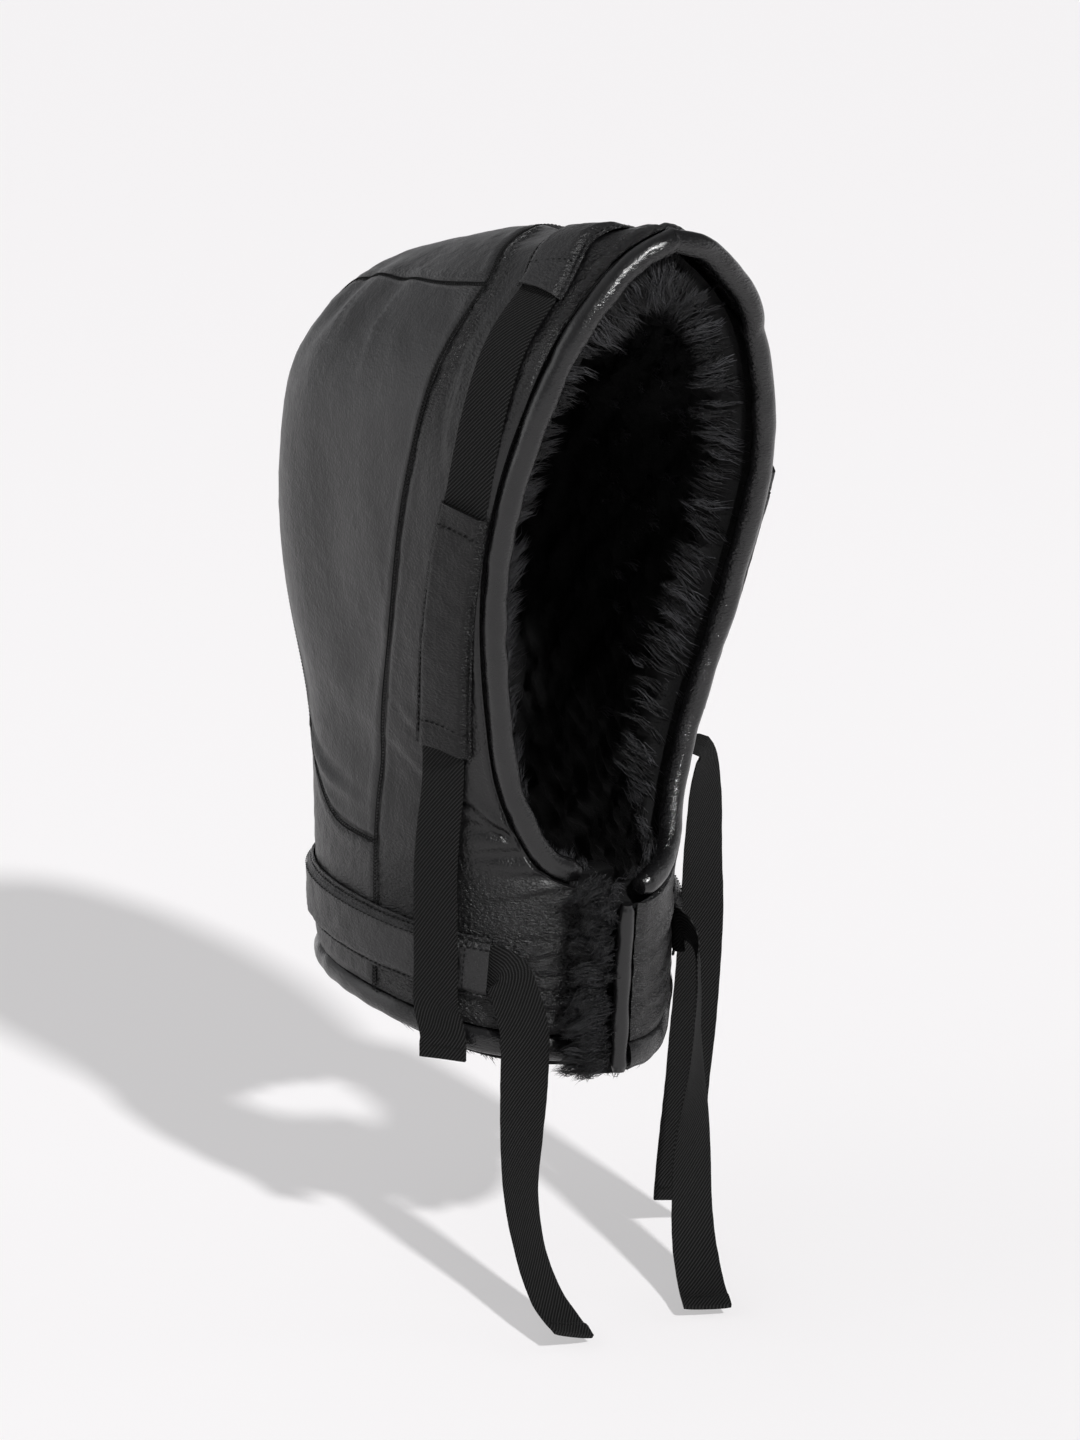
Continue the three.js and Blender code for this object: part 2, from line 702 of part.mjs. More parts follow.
function hangingKeys(rows) {
  return rows.map((row) => {
    const flat = Math.sqrt(1 - row.tip ** 2);
    const plan = row.plan * degree;
    return {
      at: new THREE.Vector3(-row.right * halfWidth, -row.front * peakReach, row.up * hoodHeight),
      wide: new THREE.Vector3(Math.cos(plan) * flat, Math.sin(plan) * flat, row.tip),
      bows: [0, 0],
      lies: false,
    };
  });
}

// Keys for webbing that lies on the surface through a list of spots.
function lyingKeys(spots) {
  const frames = spots.map(({ spot, side, height }) => {
    const { at, normal } = frameAt(spot, side);
    return { at: at.addScaledVector(normal, height), normal };
  });
  return frames.map(({ at, normal }, k) => {
    const before = frames[Math.max(k - 1, 0)].at;
    const after = frames[Math.min(k + 1, frames.length - 1)].at;
    const wide = after.clone().sub(before).cross(normal).normalize();
    const { spot, side, height } = spots[k];
    const bows = [-1, 1].map((end) => {
      const edge = stepAcross(spot, wide, (end * webbingWide) / 2);
      return place(edge, height, side).sub(at).dot(normal);
    });
    return { at, wide, bows, lies: true };
  });
}

const lyingHeight = webbingGap + webbingThick / 2;
const tunnelInner = webbingGap + webbingThick + tunnelRoom;
const overBandHeight = tunnelInner + tunnelLeather + lyingHeight + crossingRoom;

// Shares along the side strap's line: where its channels start and stop, its last row, and a step.
const crownTunnelTo = 0.2;
const sideTunnelFrom = 0.55;
const sideTunnelTo = 0.85;
const strapLineEnd = 1.2;
const strapStep = 0.05;

// Places along half of the side strap's line, the same for the webbing and its channels.
function strapStations(from, to) {
  const closeSteps = evenly(0, crownTunnelTo, 6);
  const farSteps = evenly(crownTunnelTo, strapLineEnd, 20);
  const near = strapStep / 4;
  return [0, ...closeSteps, ...farSteps].filter((along) => along > from - near && along < to + near);
}

function sideStrapSpots() {
  const halfSpots = (side, to) => {
    return strapStations(0, to).map((along) => {
      const spot = lineSpot(sideStrapLine, along, side);
      const height = THREE.MathUtils.lerp(lyingHeight, overBandHeight, ease(0.68, 0.8, spot.length()));
      return { spot, side, height };
    });
  };
  const rightHalf = halfSpots(right, strapLineEnd).reverse();
  return [...rightHalf, ...halfSpots(left, sideTunnelTo + strapStep).slice(1)];
}

function sideStrap() {
  const rightEnd = hangingKeys(sideStrapRightEnd).reverse();
  return webbing([...rightEnd, ...lyingKeys(sideStrapSpots()), ...hangingKeys(sideStrapLeftEnd)]);
}

const bandSteps = 24;

function bandSpots() {
  return [bandTurn, ...evenly(bandTurn, 360 - bandTurn, bandSteps)].map((turn) => {
    const side = turn < 180 ? right : left;
    return { spot: spotAt({ out: bandOut, turn }, right), side, height: lyingHeight };
  });
}

function neckStrap() {
  const rightEnd = hangingKeys(neckStrapRightEnd).reverse();
  return webbing([...rightEnd, ...lyingKeys(bandSpots()), ...hangingKeys(neckStrapLeftEnd)]);
}

// A leather channel over webbing: flat in the middle and sewn down along both long edges.
function tunnel(spots, halfWidths) {
  const keys = lyingKeys(spots.map((stop) => ({ ...stop, height: 0 })));
  const flatHalf = (webbingWide + tunnelRoom) / 2;
  const flat = [-flatHalf, -flatHalf / 2, 0, flatHalf / 2, flatHalf];
  const across = (j) => [-halfWidths(j), ...flat, halfWidths(j)];
  const height = (i) => (i === 0 || i === 6 ? tunnelFoot : tunnelInner);
  const at = (thickness) => (i, j) => {
    const { spot, side } = spots[j];
    return place(stepAcross(spot, keys[j].wide, across(j)[i]), height(i) + thickness, side);
  };
  return wall(6, spots.length - 1, at(tunnelLeather), at(0));
}

function sideTunnel(side) {
  const stations = strapStations(sideTunnelFrom, sideTunnelTo);
  const spots = stations.map((along) => ({ spot: lineSpot(sideStrapLine, along, side), side }));
  const { top, bottom } = sideTunnelHalf;
  return tunnel(spots, (j) => THREE.MathUtils.lerp(top, bottom, j / (stations.length - 1)));
}

function crownTunnel() {
  const stations = strapStations(0, crownTunnelTo);
  const half = (side) => {
    return stations.map((along) => ({ spot: lineSpot(sideStrapLine, along, side), side, along }));
  };
  const spots = [...half(right).reverse(), ...half(left).slice(1)];
  const { middle, ends } = crownTunnelHalf;
  return tunnel(spots, (j) => THREE.MathUtils.lerp(middle, ends, spots[j].along / crownTunnelTo));
}

function neckTunnel() {
  return tunnel(bandSpots(), () => bandHalf);
}

const leatherLook = new THREE.MeshStandardMaterial({ color: 0x2a2a2c, roughness: 0.52, metalness: 0 });
const rollLook = new THREE.MeshStandardMaterial({ color: 0x1e1e20, roughness: 0.38, metalness: 0 });
const woolLook = new THREE.MeshStandardMaterial({ color: 0x101012, roughness: 0.95, metalness: 0 });
const webbingLook = new THREE.MeshStandardMaterial({ color: 0x121214, roughness: 0.85, metalness: 0 });

const hood = new THREE.Group();

function add(name, geometry, look) {
  const mesh = new THREE.Mesh(geometry, look);
  mesh.name = name;
  hood.add(mesh);
}

const crownColumns = [0, ...evenly(0, 1, 2 * crownSteps)];
const sideColumns = [0, ...evenly(0, 1, neckSteps)];
const napeColumns = [0, ...evenly(0, 1, 4 * neckSteps)];
const napeRows = [0, ...evenly(0, 1, collarSteps)];

add("crown_panel", panel(crownPanelSpot, crownColumns, sideShares, right), leatherLook);
for (const [name, side] of [["right", right], ["left", left]]) {
  add(`side_panel_${name}`, panel(sidePanelSpot(side), sideColumns, sideShares, side), leatherLook);
  add(`front_panel_${name}`, panel(frontPanelSpot(side), frontColumns, frontShares, side), leatherLook);
  add(`hem_roll_${name}`, hemRoll(side, 18), rollLook);
  add(`side_tunnel_${name}`, sideTunnel(side), leatherLook);
}
add("nape_panel", panel(napePanelSpot, napeColumns, napeRows, right), leatherLook);
add("face_binding", faceBinding(), rollLook);
add("lapel_edge", lapelRoll(10), rollLook);
add("fleece_lining", fleece(), woolLook);
add("crown_tunnel", crownTunnel(), leatherLook);
add("neck_tunnel", neckTunnel(), leatherLook);
add("side_strap", sideStrap(), webbingLook);
add("neck_strap", neckStrap(), webbingLook);

// The seat is the wool's face at the crown.
const crown = bareSurface(new THREE.Vector2(0, 0));
hood.position.set(0, -crown.y, -(crown.z - leather - layerGap - woolDepth));

const group = new THREE.Group();
group.add(hood);

export default group;
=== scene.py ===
"""A sheepskin hood with a stand collar: leather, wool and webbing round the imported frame, in metres."""

import math

import bpy
import numpy as np
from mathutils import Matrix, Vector


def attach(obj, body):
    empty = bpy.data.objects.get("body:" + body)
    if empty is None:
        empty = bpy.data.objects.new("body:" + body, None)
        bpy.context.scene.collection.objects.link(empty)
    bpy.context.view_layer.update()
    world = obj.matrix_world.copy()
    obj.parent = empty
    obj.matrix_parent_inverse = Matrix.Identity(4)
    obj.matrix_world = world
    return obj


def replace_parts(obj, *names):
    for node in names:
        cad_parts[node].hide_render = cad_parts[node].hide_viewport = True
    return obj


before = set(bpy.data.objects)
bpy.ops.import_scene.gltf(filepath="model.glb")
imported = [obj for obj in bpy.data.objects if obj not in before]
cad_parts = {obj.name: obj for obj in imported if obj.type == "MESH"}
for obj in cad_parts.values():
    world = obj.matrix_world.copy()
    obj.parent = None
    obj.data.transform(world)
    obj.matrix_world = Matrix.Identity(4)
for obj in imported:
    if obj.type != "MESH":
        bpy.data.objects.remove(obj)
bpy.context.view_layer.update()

# Driving sizes, the same as the solids'
hood_height = 0.440
hood_width = 0.204
peak_reach = 0.151
back_reach = 0.108
leather = 0.002
wool_depth = 0.015
edge_gap = 0.0005
layer_gap = 0.0023
binding_wide = 0.012
binding_deep = 0.012
lapel_roll = 0.009
hem_roll_tall = 0.015
hem_roll_deep = 0.009
roll_bulge = 0.001
wool_past_face = 0.009
wool_edge_pile = 0.008
wool_past_hem = 0.008
lapel_rise = 0.021
crown_sag = 0.0098
side_sag = 0.0022
deepest_dent = 0.003
webbing_wide = 0.025
webbing_thick = 0.0014
webbing_gap = 0.0009
tunnel_leather = 0.0015
tunnel_room = 0.0012
tunnel_foot = 0.0009
crossing_room = 0.0005
folded_end = 0.009
side_tunnel_half = (0.0144, 0.017)
crown_tunnel_half = (0.020, 0.0155)
band_half = 0.0165

degree = math.pi / 180
right = -1.0
left = 1.0


def table(columns, rows):
    """A table as one array for each named column."""
    return {name: np.array([row[k] for row in rows], float) for k, name in enumerate(columns)}


# Sections of the outer surface from the crown at 0 to the hem at 1, as shares of the named sizes
sections = table(
    ["out", "front", "frontUp", "side", "widest", "sideUp", "back", "backUp", "frontRound", "backRound"],
    [
        [0.0, 0.265, 0.963, 0.0, 0.265, 0.963, -0.37, 0.963, 2.0, 2.0],
        [0.08, 0.596, 0.977, 0.353, 0.252, 0.946, 0.074, 0.939, 1.9, 2.0],
        [0.18, 1.0, 0.998, 0.647, 0.232, 0.9, 0.611, 0.893, 1.75, 2.4],
        [0.3, 1.179, 0.909, 0.912, 0.185, 0.811, 0.944, 0.802, 2.2, 2.5],
        [0.42, 1.139, 0.727, 1.0, 0.119, 0.693, 0.991, 0.68, 2.9, 2.5],
        [0.55, 0.993, 0.557, 0.971, 0.066, 0.545, 0.981, 0.534, 2.8, 2.5],
        [0.68, 0.828, 0.375, 0.863, 0.02, 0.375, 0.87, 0.375, 2.5, 2.4],
        [0.8, 0.735, 0.227, 0.853, 0.0, 0.245, 0.898, 0.255, 2.2, 2.2],
        [0.9, 0.702, 0.109, 0.863, 0.0, 0.136, 0.917, 0.141, 2.1, 2.1],
        [1.0, 0.682, -0.005, 0.873, 0.0, 0.045, 0.917, 0.041, 2.1, 2.1],
    ],
)

line_columns = ["along", "out", "turn"]
hem_seam_out = 0.967
crown_corner = [0.19, 64]
neck_corner = [0.722, 123]
collar_corner = [0.793, 79]
face_edge = table(line_columns, [
    [0.0, 0.815, -11], [0.08, 0.812, 8], [0.14, 0.795, 24], [0.2, 0.765, 33], [0.28, 0.7, 42.5],
    [0.38, 0.6, 47.5], [0.5, 0.48, 49.3], [0.6, 0.385, 47], [0.7, 0.3, 40.5], [0.8, 0.24, 31],
    [0.9, 0.2, 18.5], [1.0, 0.178, 0],
])
front_seam = table(line_columns, [
    [0.0, 0.004, 0], [0.05, 0.022, 48], [0.13, 0.07, 60], [0.3, *crown_corner], [0.42, 0.29, 68],
    [0.54, 0.42, 69], [0.64, 0.54, 71], [0.76, 0.675, 77], [0.86, *collar_corner],
    [1.0, hem_seam_out, 79],
])
crown_seam = table(line_columns, [
    [0.0, *crown_corner], [0.1, 0.168, 82], [0.2, 0.152, 103], [0.32, 0.165, 130],
    [0.44, 0.215, 146], [0.58, 0.33, 147], [0.74, 0.48, 137], [0.88, 0.62, 128],
    [1.0, *neck_corner],
])
neck_seam = table(line_columns, [
    [0.0, *collar_corner], [0.2, 0.788, 100], [0.4, 0.75, 115], [0.5, *neck_corner],
    [0.7, 0.7, 142], [1.0, 0.69, 180],
])
strap_line = table(line_columns, [
    [0.0, 0.105, 0], [0.1, 0.152, 34], [0.2, 0.232, 45], [0.3, 0.28, 50.5], [0.42, 0.34, 53],
    [0.55, 0.437, 54], [0.7, 0.55, 55.5], [0.85, 0.665, 56.3], [1.0, 0.8, 55.5],
    [1.2, 0.95, 54.5],
])
band_out = 0.897
band_turn = 40
crown_along = 0.3
collar_along = 0.86
neck_along = 0.5
throat_along = 0.9
throat_power = 1.25
throat_out = 0.815
throat_reach = 0.7
lapel_turn = {right: -8.0, left: 0.5}
binding_start = {right: 14.0, left: 3.0}

# Dents and folds: long and wide are shares of hood_height, depth of deepest_dent
dents = table(["side", "out", "turn", "slant", "long", "wide", "depth"], [
    [-1, 0.21, 131, 25, 0.0682, 0.025, 1.0],
    [-1, 0.2, 108, 10, 0.0773, 0.0273, 0.73],
    [-1, 0.5, 96, 5, 0.159, 0.0591, 0.6],
    [-1, 0.72, 62, 80, 0.0682, 0.0318, 0.53],
    [1, 0.22, 126, -20, 0.0727, 0.0273, 0.93],
    [1, 0.47, 100, -8, 0.145, 0.0545, 0.6],
    [1, 0.7, 92, 70, 0.0818, 0.0341, 0.6],
    [1, 0.36, 172, 85, 0.1, 0.0455, 0.53],
])

# Soft creases of the worn leather, as dents but sharper, and raised beside their line
creases = table(["side", "out", "turn", "slant", "long", "wide", "depth"], [
    [-1, 0.735, 47, 74, 0.05, 0.006, 0.6], [-1, 0.757, 40, 82, 0.07, 0.0075, 0.75],
    [-1, 0.778, 33, 95, 0.075, 0.008, 0.8], [-1, 0.8, 25, 84, 0.06, 0.0065, 0.55],
    [-1, 0.822, 30, 98, 0.05, 0.006, 0.45], [-1, 0.862, 20, 88, 0.055, 0.006, 0.5],
    [-1, 0.882, 24, 96, 0.05, 0.005, 0.55], [-1, 0.9, 18, 86, 0.06, 0.0055, 0.6],
    [-1, 0.918, 26, 94, 0.05, 0.005, 0.5], [-1, 0.937, 20, 88, 0.06, 0.006, 0.5],
    [-1, 0.7, 66, 70, 0.05, 0.006, 0.4], [-1, 0.655, 66, 60, 0.045, 0.005, 0.35],
    [-1, 0.36, 62, 12, 0.06, 0.005, 0.4], [-1, 0.3, 62, -8, 0.055, 0.005, 0.45],
    [-1, 0.235, 100, 18, 0.055, 0.006, 0.5], [-1, 0.22, 118, 32, 0.045, 0.005, 0.5],
    [1, 0.85, 22, 84, 0.06, 0.006, 0.6], [1, 0.875, 18, 96, 0.055, 0.0055, 0.6],
    [1, 0.9, 28, 86, 0.06, 0.006, 0.55], [1, 0.925, 16, 92, 0.05, 0.0055, 0.6],
    [1, 0.945, 24, 88, 0.06, 0.006, 0.5], [1, 0.77, 44, 80, 0.06, 0.007, 0.6],
])

# Webbing that hangs free: shares of half the width, peak_reach and hood_height, the heading of
# the webbing's width seen from above, and how far that width stands up
hang_columns = ["right", "front", "up", "plan", "tip"]
side_strap_right_end = table(hang_columns, [
    [0.75, 0.446, 0.04, -56, 0], [0.745, 0.444, 0.009, -54, 0],
])
side_strap_left_end = table(hang_columns, [
    [-0.83, 0.478, 0.325, 214, 0], [-0.845, 0.478, 0.27, 192, 0], [-0.845, 0.47, 0.2, 176, 0],
    [-0.848, 0.464, 0.12, 166, 0], [-0.835, 0.45, 0.02, 161, 0], [-0.8, 0.425, -0.12, 158, 0],
    [-0.765, 0.405, -0.253, 156, 0],
])
neck_strap_right_end = table(hang_columns, [
    [0.535, 0.6, 0.12, -38, 0.92], [0.485, 0.626, 0.088, -36, 0.58], [0.451, 0.64, 0.045, -34, 0.1],
    [0.451, 0.636, -0.02, -22, 0], [0.466, 0.634, -0.09, -3, 0], [0.486, 0.65, -0.155, 14, 0],
    [0.515, 0.73, -0.212, 25, 0], [0.555, 0.87, -0.252, 33, 0], [0.59, 1.06, -0.276, 40, 0],
])
neck_strap_left_end = table(hang_columns, [
    [-0.566, 0.62, 0.122, 225, 0.94], [-0.6, 0.655, 0.1, 230, 0.5], [-0.6, 0.67, 0.06, 232, 0.1],
    [-0.58, 0.68, 0.0, 222, 0], [-0.55, 0.7, -0.08, 202, 0], [-0.48, 0.75, -0.165, 185, 0],
    [-0.385, 0.85, -0.228, 175, 0], [-0.285, 0.98, -0.264, 170, 0], [-0.19, 1.11, -0.28, 168, 0],
])

floor_height = -0.5335


# Camera and light

view_target = (0.02107, 0.0253, -0.2484)
view_azimuth = -35 * degree
view_elevation = 16 * degree
view_distance = 2.4
view_lens = 114.3
floor_reach = 40
key_from = (-0.05, -0.78, 0.64)
key_power = 3.5
key_angle = 3.5 * degree
glow_from = (-0.62, 0.72, 0.31)
lit_middle = (0, 0, -0.2)


def unit(vectors):
    """Vectors of length one."""
    vectors = np.asarray(vectors, float)
    return vectors / np.maximum(np.linalg.norm(vectors, axis=-1, keepdims=True), 1e-12)


def aim(obj, at):
    """Turns an object's -Z axis to a point."""
    obj.rotation_euler = (Vector(at) - obj.location).to_track_quat("-Z", "Y").to_euler()


def make_camera():
    """The photograph's view: from the front right, a little above."""
    data = bpy.data.cameras.new("camera")
    data.lens = view_lens
    camera = bpy.data.objects.new("camera", data)
    bpy.context.scene.collection.objects.link(camera)
    back = Vector((
        math.sin(view_azimuth) * math.cos(view_elevation),
        -math.cos(view_azimuth) * math.cos(view_elevation),
        math.sin(view_elevation),
    ))
    camera.location = Vector(view_target) + back * view_distance
    aim(camera, view_target)
    bpy.context.scene.camera = camera


def area_light(name, place_at, size, power):
    data = bpy.data.lights.new(name, "AREA")
    data.shape = "RECTANGLE"
    data.size, data.size_y = size
    data.energy = power
    light = bpy.data.objects.new(name, data)
    bpy.context.scene.collection.objects.link(light)
    light.location = place_at
    aim(light, lit_middle)


def make_world():
    """A dim studio with white walls low down, and a glow behind on the left."""
    world = bpy.data.worlds.new("studio")
    world.use_nodes = True
    tree = world.node_tree
    where = tree.nodes.new("ShaderNodeTexCoord").outputs["Generated"]

    def glow(direction, low, high, dim, bright):
        toward = tree.nodes.new("ShaderNodeVectorMath")
        toward.operation = "DOT_PRODUCT"
        toward.inputs[1].default_value = direction
        tree.links.new(where, toward.inputs[0])
        level = tree.nodes.new("ShaderNodeMapRange")
        for key, value in zip(("From Min", "From Max", "To Min", "To Max"), (low, high, dim, bright)):
            level.inputs[key].default_value = value
        tree.links.new(toward.outputs["Value"], level.inputs["Value"])
        return level.outputs["Result"]

    brightest = tree.nodes.new("ShaderNodeMath")
    brightest.operation = "MAXIMUM"
    tree.links.new(glow(glow_from, 0.1, 0.95, 0.09, 0.55), brightest.inputs[0])
    tree.links.new(glow((0, 0, 1), 0.09, 0.24, 0.94, 0.0), brightest.inputs[1])
    background = tree.nodes["Background"]
    background.inputs["Color"].default_value = (0.98, 0.98, 1, 1)
    tree.links.new(brightest.outputs["Value"], background.inputs["Strength"])
    bpy.context.scene.world = world


def make_stage():
    """A white floor, a bright key from the front, and soft light from both sides."""
    mesh = bpy.data.meshes.new("floor")
    signs = [(-1, -1), (1, -1), (1, 1), (-1, 1)]
    corners = [(x * floor_reach, y * floor_reach, floor_height) for x, y in signs]
    mesh.from_pydata(corners, [], [(0, 1, 2, 3)])
    floor = bpy.data.objects.new("floor", mesh)
    bpy.context.scene.collection.objects.link(floor)
    look = bpy.data.materials.new("floor")
    look.use_nodes = True
    shader = look.node_tree.nodes["Principled BSDF"]
    shader.inputs["Base Color"].default_value = (0.5, 0.49, 0.495, 1)
    shader.inputs["Roughness"].default_value = 1.0
    shader.inputs["Specular IOR Level"].default_value = 0.0
    shader.inputs["Emission Color"].default_value = (1.0, 0.985, 0.99, 1)
    shader.inputs["Emission Strength"].default_value = 0.43
    mesh.materials.append(look)
    bpy.context.scene.view_settings.view_transform = "Standard"
    data = bpy.data.lights.new("key", "SUN")
    data.energy = key_power
    data.angle = key_angle
    key = bpy.data.objects.new("key", data)
    bpy.context.scene.collection.objects.link(key)
    key.location = key_from
    aim(key, (0, 0, 0))
    area_light("left", (-2.2, 1.3, 0.75), (1.8, 1.8), 9)
    area_light("right", (2.4, -0.9, 0.7), (0.7, 1.6), 4)


make_camera()
make_world()
make_stage()


# The hood's surface

def read(rows, key, names, at):
    """A smooth curve through the rows of a table, read column by column."""
    at = np.asarray(at, float)
    keys = rows[key]
    first = np.clip(np.searchsorted(keys, at, side="left") - 1, 0, len(keys) - 2)
    span = keys[first + 1] - keys[first]
    t = (at - keys[first]) / span
    before = np.maximum(np.arange(len(keys)) - 1, 0)
    after = np.minimum(np.arange(len(keys)) + 1, len(keys) - 1)
    result = []
    for name in names:
        values = rows[name]
        slopes = (values[after] - values[before]) / (keys[after] - keys[before])
        leave = slopes[first] * span
        arrive = slopes[first + 1] * span
        bend = values[first] - values[first + 1]
        square = -3 * bend - 2 * leave - arrive
        cube = 2 * bend + leave + arrive
        result.append(values[first] + t * (leave + t * (square + t * cube)))
    return result


def with_row_beyond_crown():
    """The row before the crown is the second row seen from the other side of the hood."""
    beyond = {name: column[1] for name, column in sections.items()}
    beyond["out"] = -sections["out"][1]
    beyond["side"] = -sections["side"][1]
    beyond["front"] = -sections["back"][1] * back_reach / peak_reach
    beyond["frontUp"] = sections["backUp"][1]
    beyond["back"] = -sections["front"][1] * peak_reach / back_reach
    beyond["backUp"] = sections["frontUp"][1]
    return {name: np.concatenate([[beyond[name]], column]) for name, column in sections.items()}


section_rows = with_row_beyond_crown()
section_names = [name for name in sections if name != "out"]


def bare(spot):
    """The bare outer surface. A spot is a place on it as a flat disc, with the front towards -y."""
    out = np.hypot(spot[..., 0], spot[..., 1])
    front, front_up, side, widest, side_up, back, back_up, front_round, back_round = read(
        section_rows, "out", section_names, out
    )
    safe = np.maximum(out, 1e-9)
    ahead = np.where(out > 0, -spot[..., 1] / safe, 1)
    aside = np.where(out > 0, spot[..., 0] / safe, 0)
    power = np.where(ahead > 0, front_round, back_round)
    rounded = (np.abs(ahead) ** power + np.abs(aside) ** power) ** (-1 / power)
    c = ahead * rounded
    s = aside * rounded
    front_y = -front * peak_reach
    back_y = back * back_reach
    widest_y = -widest * peak_reach
    middle_up = (front_up + back_up) / 2 - side_up
    x = side * hood_width / 2 * s
    y = widest_y - c * (back_y - front_y) / 2 + ((front_y + back_y) / 2 - widest_y) * c * c
    z = (side_up + (front_up - back_up) / 2 * c + middle_up * c * c) * hood_height
    return np.stack([x, y, z], axis=-1)


spot_step = 0.002
crown_point = bare(np.zeros(2))
seat_shift = -np.array([0, crown_point[1], crown_point[2] - leather - layer_gap - wool_depth])


def bare_frame(spot):
    at = bare(spot)
    along_x = bare(spot + [spot_step, 0]) - at
    along_y = bare(spot + [0, spot_step]) - at
    return at, unit(np.cross(along_x, along_y)), along_x, along_y


def spot_at(out, turn, side):
    angle = np.asarray(turn) * degree
    out, angle, side = np.broadcast_arrays(out, angle, side)
    return np.stack([side * out * np.sin(angle), -out * np.cos(angle)], axis=-1)


def turn_of(spot, side):
    turn = np.arctan2(side * spot[..., 0], -spot[..., 1]) / degree
    return np.where(turn < -90, turn + 360, turn)


def line_spot(rows, along, side):
    out, turn = read(rows, "along", ["out", "turn"], along)
    return spot_at(out, turn, side)


def ease(low, high, value):
    t = np.clip((value - low) / (high - low), 0, 1)
    return t * t * (3 - 2 * t)


def lerp(a, b, share):
    share = np.asarray(share)
    if np.ndim(a) > np.ndim(share) or np.ndim(b) > np.ndim(share):
        share = share[..., None]
    return a + (b - a) * share


def make_dents(rows):
    """Each dent's middle, the direction of its length, the one across it, and its sizes."""
    made = []
    for k in range(len(rows["side"])):
        side = rows["side"][k]
        spot = spot_at(rows["out"][k], rows["turn"][k], side)
        at, normal, _, _ = bare_frame(spot)
        down = bare(spot * 1.01) - at
        angle = -side * rows["slant"][k] * degree
        down = down * math.cos(angle) + np.cross(normal, down) * math.sin(angle)
        down = unit(down)
        size = (rows["long"][k] * hood_height, rows["wide"][k] * hood_height)
        made.append((at, down, np.cross(normal, down), size, deepest_dent * rows["depth"][k]))
    return made


dent_frames = make_dents(dents)
crease_frames = make_dents(creases)


def dent_depth(points):
    depth = np.zeros(points.shape[:-1])
    for middle, lengthwise, crosswise, (long, wide), deep in dent_frames:
        away = points - middle
        depth += deep * np.exp(-((away @ lengthwise / long) ** 2) - (away @ crosswise / wide) ** 2)
    return depth


def crease_height(points):
    """Creases bend a little along their length and stand up beside their deepest line."""
    height = np.zeros(points.shape[:-1])
    for middle, lengthwise, crosswise, (long, wide), deep in crease_frames:
        away = points - middle
        along = away @ lengthwise / long
        across = away @ crosswise / wide + 0.9 * np.sin(2.2 * along + 40 * middle[2])
        profile = 0.8 * np.exp(-((across - 2.0) ** 2)) - np.exp(-(across ** 2))
        height += 0.85 * deep * profile * np.exp(-(along ** 2))
    return height


def slack(spot):
    """How far the leather sinks behind the face edge on the left, most of all over the crown."""
    out = np.hypot(spot[..., 0], spot[..., 1])
    turn = turn_of(spot, 1.0)
    edge_out = 0.178 + 0.12 * (np.clip(turn, 0, 60) / 40) ** 1.6
    over_crown = ease(-30, 12, turn) * (1 - ease(95, 140, turn)) * ease(0.01, 0.08, out)
    over_crown = over_crown * ease(0.0, 0.06, edge_out - out)
    down_side = ease(25, 50, turn) * (1 - ease(110, 150, turn)) * ease(0.2, 0.4, out)
    down_side = down_side * (1 - ease(0.75, 0.9, out))
    return crown_sag * over_crown + side_sag * down_side


def lift(spot, side):
    """The left lapel rises over the right one towards the middle of the front."""
    across_front = 1 - ease(-2, 42, turn_of(spot, 1.0))
    rise = lapel_rise * across_front * ease(0.7, 0.79, np.hypot(spot[..., 0], spot[..., 1]))
    return np.where(np.asarray(side) > 0, rise, 0)


def place(spot, height, side, dent_share=1.0):
    """Points at a height over the surface, in the row frame."""
    at, normal, _, _ = bare_frame(spot)
    total = height + lift(spot, side) - dent_share * dent_depth(at) - slack(spot)
    return at + normal * total[..., None] + seat_shift


def frame_at(spot, side):
    at = place(spot, 0, side)
    along_x = place(spot + [spot_step, 0], 0, side) - at
    along_y = place(spot + [0, spot_step], 0, side) - at
    return at, unit(np.cross(along_x, along_y))


def ripple(points, size, seed, waves=7):
    """Smooth unevenness between about -1 and 1, with bumps of about the given size."""
    source = np.random.default_rng(seed)
    directions = unit(source.normal(size=(waves, 3)))
    phases = source.uniform(0, 2 * math.pi, waves)
    lengths = size * source.uniform(0.6, 1.6, waves)
    angles = (points @ directions.T) * (2 * math.pi / lengths) + phases
    return np.sin(angles).sum(-1) / math.sqrt(waves)


# Meshes

